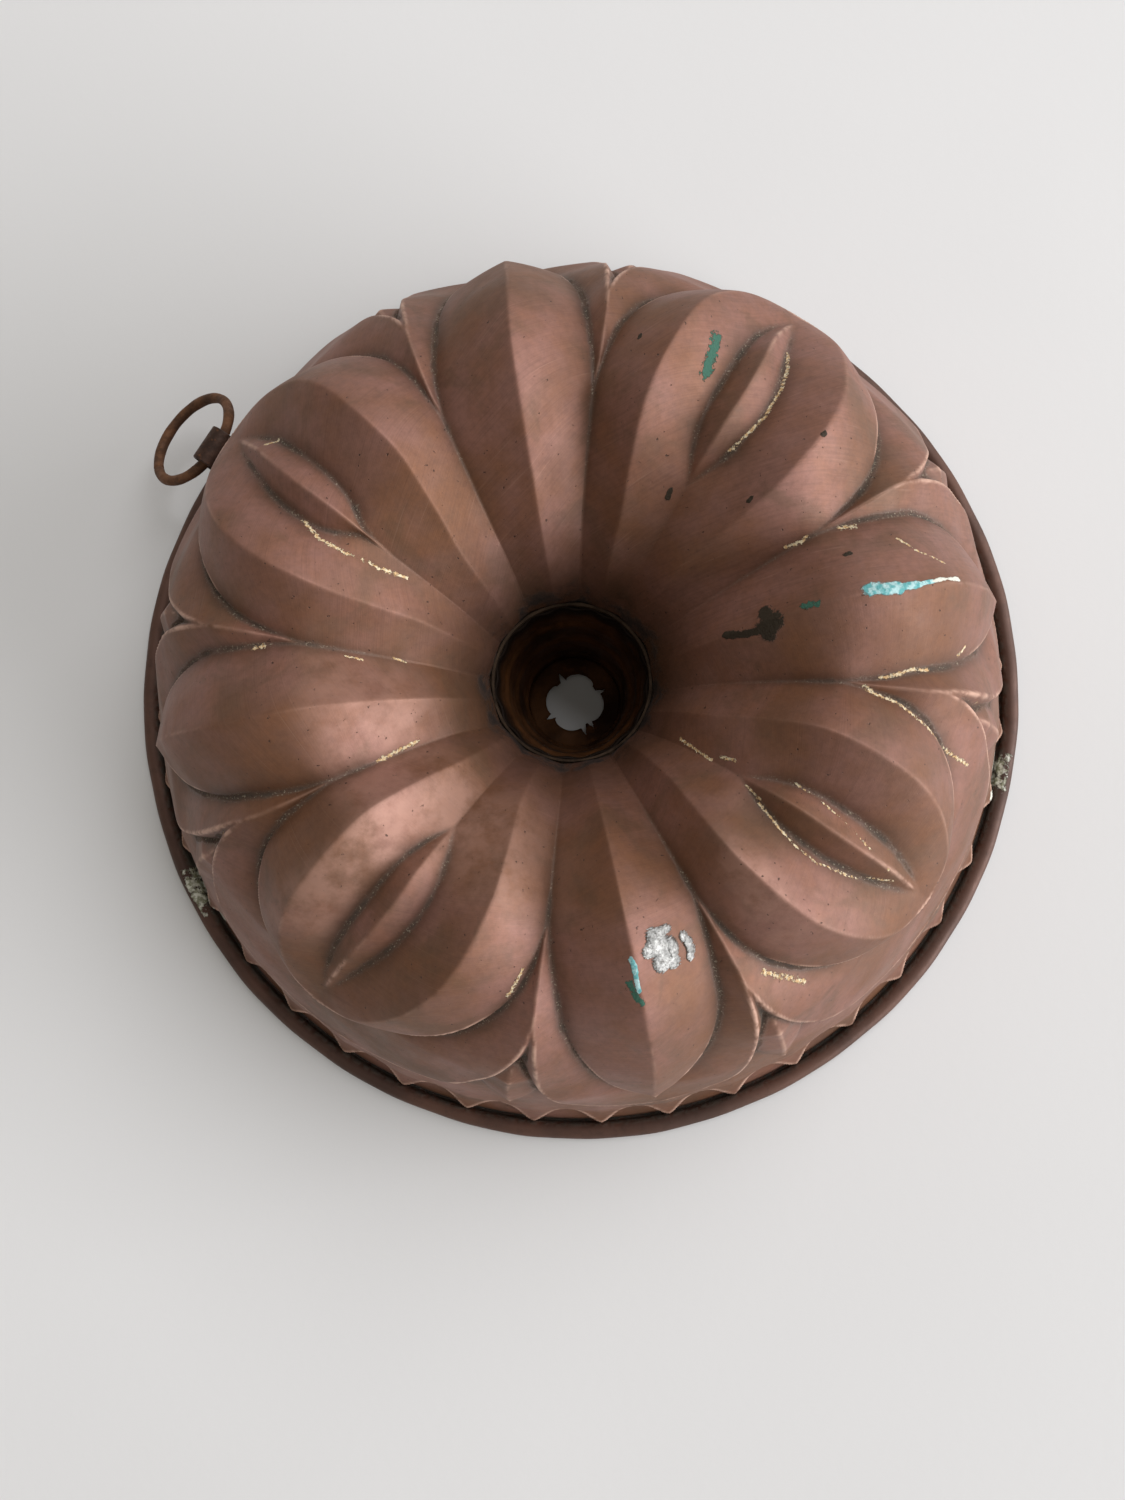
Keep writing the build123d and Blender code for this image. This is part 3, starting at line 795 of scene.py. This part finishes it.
def make_bright_solder():
    """Fresh-looking tin solder with wrinkles."""
    look = Look("bright_solder")
    colour = look.two_tone(2.2, SOLDER_PALE, SOLDER_GREY, warp=0.8)
    grey = look.between(look.noise(1.0, 5, 0.7), 0.50, 0.70, 0, 0.7)
    colour = look.mix(grey, colour, SOLDER_DARK)
    bumps = ((look.noise(1.2, 5, 0.65, warp=0.6), 0.55), (look.noise(0.4, 3), 0.06))
    return look.finish(colour, 0.92, look.uneven(1.5, 0.28, 0.5), bumps)


def make_dull_solder():
    """The old fillet round the chimney, black with soot."""
    look = Look("dull_solder")
    colour = look.two_tone(5, FILLET_BROWN, FILLET_DARK)
    bumps = ((look.noise(2, 5), 0.25),)
    return look.finish(colour, 0.0, look.uneven(3, 0.6, 0.8), bumps, Specular_IOR_Level=0.05)


def make_floor_paper():
    """Pale, plain floor with the faintest unevenness."""
    look = Look("floor_paper")
    colour = look.mix(look.between(look.noise(260, 3, 0.5), 0.3, 0.7), FLOOR_PALE, FLOOR_GREY)
    return look.finish(colour, 0.0, 0.8, ((look.noise(3, 4), 0.03),), IOR=1.3)


# -------------------- marks of age

# Each mark is a path of (azimuth, station) places on the shell, after its reach in millimetres.
MARKS = {}
MARKS["residue"] = [
    (1.0, [(44.2, 8.1), (42.4, 8.6), (40.7, 9.2), (39.6, 9.9), (40.1, 10.5), (41.1, 11.1)]),
    (1.2, [(144.4, 10), (146.4, 10.6), (146.6, 11.2), (145.7, 11.9), (143.8, 12.4)]),
    (0.8, [(310.3, 11.4), (308.4, 10.7), (307.8, 10.1), (308.1, 9.6), (310.2, 8.8), (314, 7.9)]),
    (0.7, [(318.2, 11), (317.3, 10), (315.7, 9.1), (314.7, 8.3)]),
    (1.3, [(342.1, 10.1), (340.9, 9.8), (340.1, 9.4), (338.7, 9.0), (336.6, 8.3), (335.1, 7.6)]),
    (1.2, [(335.1, 7.6), (334.4, 7.0)]),
    (1.2, [(344.2, 9.7), (345, 9.4), (346.1, 9.1), (346.5, 8.6)]),
    (1.1, [(349.6, 7.7), (350.9, 7.5)]),
    (1.1, [(341.7, 7.2), (343.4, 7.0)]),
    (1.5, [(13.8, 10.05), (12.8, 9.75)]),
    (1.1, [(15.5, 11.5), (15.1, 11.2), (15.2, 11.0)]),
    (0.8, [(8.0, 9.2), (5.1, 9.0), (2.4, 8.5)]),
    (1.3, [(135.4, 8.2), (133.6, 8.3)]),
    (1.2, [(169.5, 9.5), (169.2, 9.7)]),
    (0.8, [(170.5, 11.7), (170.9, 12)]),
    (0.7, [(168.8, 12.6), (169.9, 12.9)]),
    (1.3, [(198.8, 11.9), (198.4, 12.3), (197.8, 12.7)]),
    (1.3, [(197.8, 7.3), (197.1, 7.7)]),
    (1.5, [(290.4, 8.4), (292.3, 8.0), (295.2, 7.4)]),
    (1.2, [(251.4, 9.5), (250.5, 9.2), (249.7, 8.9)]),
    (0.9, [(315.9, 13.5), (314.8, 13.1), (313.9, 12.6)]),
    (1.0, [(315.8, 12.5), (316.7, 12.2)]),
    (0.8, [(312.4, 11.8), (311.1, 11.4)]),
]
MARKS["verdigris"] = [
    (3.0, [(359.5, 10.2), (359.2, 9.9), (358.9, 9.7)]),
    (1.9, [(358.9, 9.7), (359.0, 9.4)]),
    (1.0, [(359.0, 9.4), (359.4, 9.1)]),
    (1.2, [(270.6, 9.9), (270.8, 9.8), (270.9, 9.6), (271.0, 9.4)]),
]
MARKS["dark_green"] = [
    (2.6, [(54.6, 9.2), (53.9, 9.5), (53.3, 9.9)]),
    (1.5, [(359.1, 11.3), (358.9, 11.1)]),
    (1.5, [(269.7, 9.5), (270.3, 9.3), (270.9, 9.2)]),
]
MARKS["scab"] = [
    (3.4, [(1.6, 12.0), (0.6, 12.0)]),
    (4.6, [(358.2, 11.9), (357.0, 11.95), (355.8, 12.0)]),
    (1.8, [(358.1, 12.8), (356.8, 12.5), (356.0, 12.1)]),
    (1.2, [(29.2, 9.7), (29.2, 9.75)]),
    (1.1, [(29.2, 11.35), (29.2, 11.4)]),
    (1.2, [(7.9, 10.25), (7.9, 10.3)]),
    (1.0, [(67.2, 9.6), (67.2, 9.65)]),
    (1.3, [(48.7, 12.2), (48.2, 12.3)]),
]
MARKS["crust"] = [
    (4.5, [(193, 0), (197, 0.1), (202, 0.1)]),
    (3.5, [(335.3, 0.2), (338.5, 0), (341.2, 0)]),
    (0.9, [(359.4, 9.1), (359.7, 8.9), (359.6, 8.4)]),
]


def mark_values(points, stations, azimuths, marks):
    """The strongest of a group of marks at each point."""
    total = np.zeros(points.shape[:-1])
    for reach, path in marks:
        line = []
        for azimuth, station in path:
            row = int(np.argmin(np.abs(stations - station)))
            column = int(round(azimuth / 360 * len(azimuths))) % len(azimuths)
            line.append(points[row, column])
        total = np.maximum(total, near_path(points, line, reach))
    return total


# -------------------- pieces


def painted_light_share(stations, azimuths):
    """How much painted highlight pales the copper at each place."""
    total = np.zeros((len(stations), len(azimuths)))
    for azimuth, reach, low, high, strength in PAINTED_LIGHT_PLACES:
        round_share = smooth_step(reach, reach / 3, apart(azimuths, azimuth))[None, :]
        up_share = smooth_step(low, low + 1.2, stations) * smooth_step(high, high - 1.4, stations)
        total += strength * round_share * up_share[:, None]
    return total


def make_shell(copper, lining):
    """The pressed shell: fine rows outside, coarser ones for the tinned inside."""
    share = 1.0
    stations = shell_rows(share)
    azimuths = np.linspace(0, 360, int(COLUMNS * share), endpoint=False)
    depth = Relief(stations, azimuths).depth()
    outer = place(stations, azimuths, depth)
    lining_rows = np.arange(len(stations) - 1, -1, -LINING_ROWS)
    lining_depth = blurred(depth, 2, 2)[lining_rows] + WALL
    inner = place(stations[lining_rows], azimuths, lining_depth)
    points = np.concatenate([outer, inner])
    quads = grid_quads(len(points), len(azimuths), close_rows=True)
    piece = add_piece("shell", points, quads, [copper, lining], "mould", ["fluted_body"])
    inside = np.zeros(len(quads), np.int32)
    inside[len(stations) * len(azimuths) :] = 1
    piece.data.polygons.foreach_set("material_index", inside)

    def stored(name, values):
        add_values(piece, name, np.concatenate([values, values[lining_rows]]))

    reach = max(1, round(2 * share))
    proud = blurred(depth, reach, reach) - depth
    hollow = depth - blurred(depth, 3 * reach, 3 * reach)
    wide_hollow = depth - blurred(depth, 9 * reach, 9 * reach)
    low_down = smooth_step(*WORN_STATIONS, stations)[:, None]
    worn = WORN_ABOVE + (1 - WORN_ABOVE) * low_down
    stored("worn", smooth_step(*WORN_PROUD, proud) * worn)
    stored("grime", smooth_step(*GRIME_HOLLOW, hollow))
    # Painted shade: broad hollows darkened where shade would gather.
    stored("valley_shade", smooth_step(*VALLEY_SHADE_HOLLOW, wide_hollow))
    # Painted shade: rises towards the mouth and darkens the copper there.
    stored("inward", smooth_step(*INWARD_STATIONS, stations)[:, None] + 0 * depth)
    # Painted highlight: where the copper is painted paler, as if lit.
    stored("painted_light", painted_light_share(stations, azimuths))
    stored("along", travel(stations)[:, None] * BRUSH_SHARE + 0 * depth)
    stored("around", np.radians(azimuths)[None, :] * envelope_r(stations)[:, None])
    for name, marks in MARKS.items():
        stored(name, mark_values(outer, stations, azimuths, marks))


RIM_R = 125.0
BEAD_R = 2.4
BEAD_CLEARANCE = 0.22
RIM_COLUMNS = 480
# The flange from the shell's foot to the bead, under it and back over it: (radius, height).
FLANGE_UNDER = [(118.4, 1.3), (118.4, 0.5), (119.8, 0.2)]
FLANGE_OVER = [(120.4, 1.9), (119.9, 1.1)]
# The bead's outline, from where it leaves the flange's underside round to its top side.
BEAD_FROM = -110
BEAD_SPAN = 280
BEAD_STEPS = 24
# Pale corrosion on the rim: azimuth, half-width in degrees, half-width of its full strength.
RIM_CRUSTS = [(197.5, 5.5, 2.0), (338.5, 4.0, 1.2)]
RIM_CRUST_STRENGTH = 0.62
RIM_CRUST_RADII = (124.2, 122.6)
RIM_GRIME_RADII = (121.6, 120.2)
# The bead's unevenness: (height in mm, waves round, phase).
BEAD_WAVES = [(0.10, 7, 1), (0.07, 19, 0), (0.05, 43, 0)]


def arc(radius, start, span, steps, middle=(0, 0)):
    """Points along a part of a circle."""
    turns = [math.radians(start + k * span / steps) for k in range(steps + 1)]
    x, y = middle
    return [(x + radius * math.cos(turn), y + radius * math.sin(turn)) for turn in turns]


def make_rim(material):
    """The sheet's edge, turned out from the shell's foot and rolled round the wire."""
    bead = arc(BEAD_R, BEAD_FROM, BEAD_SPAN, BEAD_STEPS, (RIM_R - BEAD_R, BEAD_R))
    profile = FLANGE_UNDER + bead + FLANGE_OVER

    def wobble(r, z, turn):
        uneven = sum(size * np.sin(count * turn + phase) for size, count, phase in BEAD_WAVES)
        on_bead = np.clip((r - 120) / 3, 0, 1)
        lifted = z + 0.6 * uneven * on_bead * (z > BEAD_R)
        return r + uneven * on_bead - BEAD_CLEARANCE * on_bead, lifted

    points = lathe(profile, RIM_COLUMNS, wobble=wobble)
    quads = grid_quads(len(profile), RIM_COLUMNS, close_rows=True)
    piece = add_piece("rolled_rim", points, quads, [material], "mould", ["rim_bead"])
    radius = np.hypot(points[..., 0], points[..., 1])
    add_values(piece, "grime", smooth_step(*RIM_GRIME_RADII, radius))
    azimuths = np.degrees(np.arctan2(points[..., 1], points[..., 0]))
    crust = 0
    for azimuth, reach, full in RIM_CRUSTS:
        crust = np.maximum(crust, smooth_step(reach, full, apart(azimuths, azimuth)))
    add_values(piece, "crust", RIM_CRUST_STRENGTH * crust * smooth_step(*RIM_CRUST_RADII, radius))


TUBE_TOP_Z = 45.0
TUBE_FOOT_Z = 2.5
TUBE_TOP_R = 18.5
TUBE_FOOT_R = 12.8
TUBE_WALL = 0.9
TUBE_STEPS = 3
TUBE_STEP_DEPTH = 0.9
TUBE_STEP_HEIGHT = 1.6
TUBE_STRAIGHT = 9.0
TUBE_ROW_STEP = 0.8
LIP_RISE = 0.25
TUBE_COLUMNS = 360
TUBE_FLUTES = 16
TUBE_FLUTE_DEPTH = 0.35


def make_chimney(material):
    """The stepped chimney with a softly fluted mouth."""
    bore = [(TUBE_TOP_R, TUBE_TOP_Z)]
    taper = TUBE_TOP_R - TUBE_FOOT_R - TUBE_STEPS * TUBE_STEP_DEPTH
    drop = (TUBE_TOP_Z - TUBE_STRAIGHT) / TUBE_STEPS
    r, z = bore[0]
    for _ in range(TUBE_STEPS):
        r -= taper / TUBE_STEPS
        bore.append((r, z - drop + TUBE_STEP_HEIGHT))
        r -= TUBE_STEP_DEPTH
        z -= drop
        bore.append((r, z))
    bore.append((TUBE_FOOT_R, TUBE_FOOT_Z))
    inner = resampled(bore, TUBE_ROW_STEP)
    outer = [(r + TUBE_WALL, z) for r, z in reversed(inner)]
    lip_z = TUBE_TOP_Z + LIP_RISE
    lip = [(TUBE_TOP_R + 0.7 * TUBE_WALL, lip_z), (TUBE_TOP_R + TUBE_WALL / 3, lip_z)]
    profile = inner + outer + lip

    def wobble(r, z, turn):
        near_mouth = smooth_step(30, 48, z)
        flute = TUBE_FLUTE_DEPTH * np.cos(TUBE_FLUTES * turn + 0.6) * near_mouth
        uneven = 0.12 * np.sin(3 * turn + 1) + 0.06 * np.sin(8 * turn + z / 6)
        return r + flute + uneven, z + 0.5 * flute

    points = lathe(profile, TUBE_COLUMNS, TUBE_SHIFT, wobble)[::-1]
    quads = grid_quads(len(profile), TUBE_COLUMNS, close_rows=True)
    add_piece("chimney", points, quads, [material], "mould", ["centre_tube"])


# The hole torn in the chimney's end: rounded lobes and pointed nicks as (azimuth, size, half-width).
HOLE_R = 6.9
HOLE_LOBES = [(66, 1.35, 34), (163, 1.3, 36), (243, 1.25, 34), (338, 1.4, 36)]
HOLE_NICKS = [(108, 2.7, 7), (13, 2.6, 7), (201, 2.6, 7), (279, 3.0, 7), (297, 2.2, 6)]
HOLE_SAG = 0.5
END_Z = 3.0
END_THICKNESS = 0.8
END_OVERLAP = 0.1
END_ROWS = 8


def hole_radius(degrees):
    """Edge of the torn hole at an azimuth."""
    r = HOLE_R + 0 * degrees
    for azimuth, size, half in HOLE_LOBES:
        gap = apart(degrees, azimuth)
        r = r + size * np.sqrt(np.clip(1 - (gap / half) ** 2, 0, 1))
    for azimuth, size, half in HOLE_NICKS:
        gap = apart(degrees, azimuth)
        r = np.maximum(r, HOLE_R + size * np.clip(1 - gap / half, 0, 1))
    return r


def make_chimney_end(material):
    """The disc in the chimney's foot, with its torn hole bent down a little."""
    degrees = np.arange(TUBE_COLUMNS) * 360.0 / TUBE_COLUMNS
    turn = np.radians(degrees)
    edge = hole_radius(degrees)
    shares = np.linspace(0, 1, END_ROWS)
    rows = [(share, END_THICKNESS) for share in shares] + [(share, 0.0) for share in shares[::-1]]
    points = []
    for share, height in rows:
        r = edge + (TUBE_FOOT_R + END_OVERLAP - edge) * share
        z = END_Z + height - HOLE_SAG * (1 - share) ** 2
        x = TUBE_SHIFT[0] + r * np.cos(turn)
        y = TUBE_SHIFT[1] + r * np.sin(turn)
        points.append(np.stack([x, y, np.full(x.shape, z)], axis=-1))
    points = np.array(points)[::-1]
    quads = grid_quads(len(rows), TUBE_COLUMNS, close_rows=True)
    add_piece("chimney_end", points, quads, [material], "mould", ["tube_end"])


def lug_frame():
    """The loop's centre and the lug's own directions: out, along the hinge, up."""
    centre = np.array(frame["joints"][0]["pos_m"]) / MM
    up = np.array([0.0, 0.0, 1.0])
    out = centre * (1, 1, 0) / np.hypot(centre[0], centre[1])
    return centre, out, np.cross(up, out), up


STRAP_WIDTH = 10.0
STRAP_THICKNESS = 1.0
STRAP_BEVEL = 0.25
LOOP_MIDDLE_R = 3.2
LOOP_FROM = -142
LOOP_SPAN = 284
LOOP_STEPS = 32
# The strip's two ends between the plate and the loop: (out, up) from the loop's centre.
LOWER_END = [(-5.2, -1.9), (-3.6, -1.7)]
UPPER_END = [(-3.6, -0.4), (-5.2, -0.3)]
# Quads that close the strip's first end, by the places of its outline's eight corners.
END_QUADS = [(7, 6, 1, 0), (6, 5, 2, 1), (5, 4, 3, 2)]


def make_strap_loop(material):
    """The strip folded round the ring's wire, its two ends side by side on the plate."""
    centre, out, hinge, up = lug_frame()
    path = LOWER_END + arc(LOOP_MIDDLE_R, LOOP_FROM, LOOP_SPAN, LOOP_STEPS) + UPPER_END
    path = np.array(path)
    run = np.gradient(path, axis=0)
    run /= np.linalg.norm(run, axis=1)[:, None]
    middle = centre + np.outer(path[:, 0], out) + np.outer(path[:, 1], up)
    across = np.outer(-run[:, 1], out) + np.outer(run[:, 0], up)
    wide = STRAP_WIDTH / 2
    thick = STRAP_THICKNESS / 2
    section = [(-wide, STRAP_BEVEL - thick), (STRAP_BEVEL - wide, -thick)]
    section += [(-x, y) for x, y in reversed(section)]
    section += [(-x, -y) for x, y in section]
    section = np.array(section)
    points = middle[:, None] + section[:, :1] * hinge + section[:, 1:] * across[:, None]
    quads = grid_quads(len(path), len(section), close_rows=False)
    first_end = np.array(END_QUADS)
    last_end = first_end[:, ::-1] + (len(path) - 1) * len(section)
    quads = np.concatenate([quads[:, ::-1], first_end, last_end])
    loop = add_piece("strap_loop", points, quads, [material], "mould")
    loop.modifiers.new("normals", "WEIGHTED_NORMAL").keep_sharp = True


PLATE_HALF_WIDTH = 9.0
PLATE_LOW_Z = 20.5
PLATE_HIGH_Z = 33.5
PLATE_RISE = 0.5
PLATE_SINK = 0.4
PLATE_WALL_R = 111
PLATE_ROWS = 27
PLATE_COLUMNS = 37
# The plate's edge is rounded over, and its corners are cut to a radius, both counted in cells.
EDGE_CELLS = 1.5
EDGE_DROP = 0.35
CORNER_CELLS = 3
CORNER_R = 2.5


def make_strap_plate(material):
    """The plate on the shell's wall that carries the strip."""
    centre = lug_frame()[0]
    wall = ENVELOPE[: CREST_STATION - FOOT_STATION]
    heights = np.linspace(PLATE_LOW_Z, PLATE_HIGH_Z, PLATE_ROWS)
    stations = np.interp(heights, [row[2] for row in wall], [row[0] for row in wall])
    half_turn = math.degrees(PLATE_HALF_WIDTH / PLATE_WALL_R)
    azimuths = np.linspace(-half_turn, half_turn, PLATE_COLUMNS)
    azimuths += math.degrees(math.atan2(centre[1], centre[0]))
    under = Relief(stations, azimuths).depth() + PLATE_SINK
    row, column = np.indices(under.shape)
    from_end = np.minimum(row, PLATE_ROWS - 1 - row)
    from_side = np.minimum(column, PLATE_COLUMNS - 1 - column)
    rounding = np.clip(1 - np.minimum(from_end, from_side) / EDGE_CELLS, 0, 1)
    into_end = np.clip(CORNER_CELLS - from_end, 0, None)
    into_side = np.clip(CORNER_CELLS - from_side, 0, None)
    corner = np.clip(np.hypot(into_end, into_side) - CORNER_R, 0, CORNER_R)
    over = np.minimum(EDGE_DROP * rounding**2 + corner - PLATE_RISE, under - 0.05)
    points, quads = closed_sheet(place(stations, azimuths, over), place(stations, azimuths, under))
    add_piece("strap_plate", points, quads, [material], "mould", ["ring_strap"])


def closed_sheet(top, bottom):
    """Points and quads of a sheet between two open grids of the same shape."""
    points = np.concatenate([top, bottom[:, ::-1]], axis=1)
    rows, around = points.shape[:2]
    j = np.arange(around // 2 - 1)
    first_end = np.stack([j + 1, j, around - 1 - j, around - 2 - j], axis=-1)
    last_end = first_end[:, ::-1] + (rows - 1) * around
    quads = grid_quads(rows, around, close_rows=False)
    return points, np.concatenate([quads, first_end, last_end])


RING_WIRE_R = 1.4
RING_COLUMNS = 220
RING_SIDES = 28
# The butt joint of the wire's ends: where on the ring, its depth and half its width in degrees.
BUTT_TURN = 62
BUTT_DEPTH = 0.35
BUTT_REACH = 1.8


def make_hanging_ring(material):
    """The wire ring, slightly uneven, with the butt joint of its ends."""
    centre, _, hinge, _ = lug_frame()
    middle = np.mean([np.array(corner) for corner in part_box("hanging_ring")], axis=0) / MM
    radius = np.linalg.norm(middle - centre)
    away = (middle - centre) / radius
    turn = np.linspace(0, 2 * math.pi, RING_COLUMNS, endpoint=False)[:, None, None]
    angle = np.linspace(0, 2 * math.pi, RING_SIDES, endpoint=False)[None, :, None]
    spoke = away * np.cos(turn) + hinge * np.sin(turn)
    in_joint = np.clip(1 - apart(np.degrees(turn), BUTT_TURN) / BUTT_REACH, 0, 1)
    wire = RING_WIRE_R * (1 + 0.03 * np.sin(5 * turn) + 0.02 * np.sin(13 * turn))
    wire = wire * (1 - BUTT_DEPTH * in_joint)
    bend = radius + 0.12 * np.sin(2 * turn + 0.7)
    offset = spoke * np.cos(angle) + np.cross(away, hinge) * np.sin(angle)
    points = middle + spoke * bend + offset * wire
    quads = grid_quads(RING_COLUMNS, RING_SIDES, close_rows=True)
    add_piece("hanging_ring_wire", points, quads, [material], "ring", ["hanging_ring"])


# Solder lumps on the -Y petal: (azimuth, station, radius along, radius across, height), in mm.
SOLDER_LUMPS = [
    (273.8, 9.92, 1.7, 1.4, 0.7),
    (275.7, 10.13, 2.3, 2.0, 0.9),
    (277.8, 10.18, 1.4, 1.8, 0.9),
    (275.2, 9.96, 2.6, 2.1, 0.9),
    (276.6, 9.88, 3.6, 2.6, 0.9),
    (278.3, 9.82, 3.0, 1.4, 1.2),
    (275.8, 9.68, 2.6, 2.3, 0.9),
    (277.7, 9.58, 1.7, 1.8, 0.8),
    (280.9, 9.88, 1.8, 1.1, 0.8),
    (281.3, 9.74, 1.8, 1.2, 0.9),
    (281.3, 9.60, 1.7, 1.2, 0.9),
    (280.8, 9.50, 1.4, 1.1, 0.8),
]
SOLDER_STEP = 0.22
SOLDER_AZIMUTHS = (271.0, 284.5)
SOLDER_STATIONS = (9.35, 10.5)
SOLDER_R = 70
STATION_LENGTH = 14.2
SOLDER_UNDER = -0.6
SOLDER_SINK = 0.9


def make_solder(material):
    """Lumpy drops of solder on the petal's flank."""
    azimuths = np.arange(*SOLDER_AZIMUTHS, math.degrees(SOLDER_STEP / SOLDER_R))
    stations = np.arange(*SOLDER_STATIONS, SOLDER_STEP / STATION_LENGTH)
    relief = Relief(stations, azimuths).depth()
    along = travel(stations)[:, None]
    radius = envelope_r(stations)[:, None]
    across = np.radians(azimuths)[None, :] * radius
    wave = 1 + 0.10 * np.sin(2.3 * across + 1.7 * along)
    wave = wave + 0.07 * np.sin(4.1 * along - 1.3 * across)
    height = np.full(relief.shape, SOLDER_UNDER)
    for azimuth, station, long_r, wide_r, tall in SOLDER_LUMPS:
        gap_along = (along - np.interp(station, stations, along[:, 0])) / long_r
        gap_across = (across - math.radians(azimuth) * radius) / wide_r
        gap = np.hypot(gap_along, gap_across) * wave
        dome = tall * np.sqrt(np.clip(1.02 - gap**2, 0, 1)) - 0.25
        height = np.maximum(height, np.where(gap < 1, dome, SOLDER_UNDER))
    wrinkle = 0.10 * np.sin(3.4 * across + 2.0 * np.sin(1.6 * along))
    height = np.where(height > SOLDER_UNDER / 2, height + wrinkle, height)
    top = place(stations, azimuths, relief - height)
    points, quads = closed_sheet(top, place(stations, azimuths, relief + SOLDER_SINK))
    add_piece("flank_solder", points, quads, [material], "mould", ["repair_solder"])


def dress_cad_node(node, material):
    """Gives a CAD node that stays in view its material."""
    slots = frame["nodes"][node].data.materials
    slots.clear()
    slots.append(material)


# -------------------- scene

CAMERA_PLACE = (-2.0, -41.0, 322.4)
CAMERA_TURNS = (("X", -4.3), ("Y", -1.65), ("Z", 10.15))
LENS = 27.05
SENSOR = 36.0
CLIP_START = 0.01
FLOOR_HALF = 3.0
LAMP_COLOUR = (0.985, 0.985, 1.02)
LAMP_TARGET = (0, 0, 0.04)
SURROUND_COLOUR = (1.0, 0.95, 0.87)
SURROUND_STRENGTH = 0.36


def make_floor(material):
    """A plain floor just under the rim."""
    mesh = bpy.data.meshes.new("floor")
    corners = [(-1, -1), (1, -1), (1, 1), (-1, 1)]
    mesh.from_pydata([(x * FLOOR_HALF, y * FLOOR_HALF, 0.0) for x, y in corners], [], [(0, 1, 2, 3)])
    mesh.materials.append(material)
    put("floor", mesh)


def add_soft_box(name, place_m, size_m, power):
    """A rectangular studio light that points at the mould."""
    lamp = bpy.data.lights.new(name, "AREA")
    lamp.shape = "RECTANGLE"
    lamp.size = size_m[0]
    lamp.size_y = size_m[1]
    lamp.energy = power
    lamp.color = LAMP_COLOUR
    holder = put(name, lamp)
    holder.location = place_m
    aim = Vector(LAMP_TARGET) - holder.location
    holder.rotation_euler = aim.to_track_quat("-Z", "Y").to_euler()


def light_scene():
    """A wide, window-like light from the right and a weaker high one, in a pale surround."""
    add_soft_box("key", (4.23, -1.88, 1.62), (6.6, 2.3), 372)
    add_soft_box("fill", (1.36, 1.36, 2.30), (2.0, 2.0), 48)
    world = bpy.data.worlds.new("surround")
    world.use_nodes = True
    background = world.node_tree.nodes["Background"]
    background.inputs["Color"].default_value = (*SURROUND_COLOUR, 1)
    background.inputs["Strength"].default_value = SURROUND_STRENGTH
    bpy.context.scene.world = world
    bpy.context.scene.view_settings.view_transform = "Standard"


def make_camera():
    """The camera, nearly straight above, as the mould was seen."""
    to_camera = Matrix.Identity(3)
    for axis, degrees in CAMERA_TURNS:
        to_camera = to_camera @ Matrix.Rotation(math.radians(degrees), 3, axis)
    lens = bpy.data.cameras.new("camera")
    lens.lens = LENS
    lens.sensor_width = SENSOR
    lens.clip_start = CLIP_START
    holder = put("camera", lens)
    holder.location = Vector(CAMERA_PLACE) * MM
    holder.rotation_euler = to_camera.transposed().to_euler()
    bpy.context.scene.camera = holder


def main():
    tube_copper = make_tube_copper()
    strap_metal = make_strap_metal()
    rusty_iron = make_rusty_iron()
    make_shell(make_old_copper(), make_tin_lining())
    make_rim(make_rim_copper())
    make_chimney(tube_copper)
    make_chimney_end(tube_copper)
    make_strap_loop(strap_metal)
    make_strap_plate(strap_metal)
    make_hanging_ring(rusty_iron)
    make_solder(make_bright_solder())
    dress_cad_node("rim_wire", rusty_iron)
    dress_cad_node("tube_solder", make_dull_solder())
    dress_cad_node("strap_rivets", strap_metal)
    make_floor(make_floor_paper())
    light_scene()
    make_camera()


main()
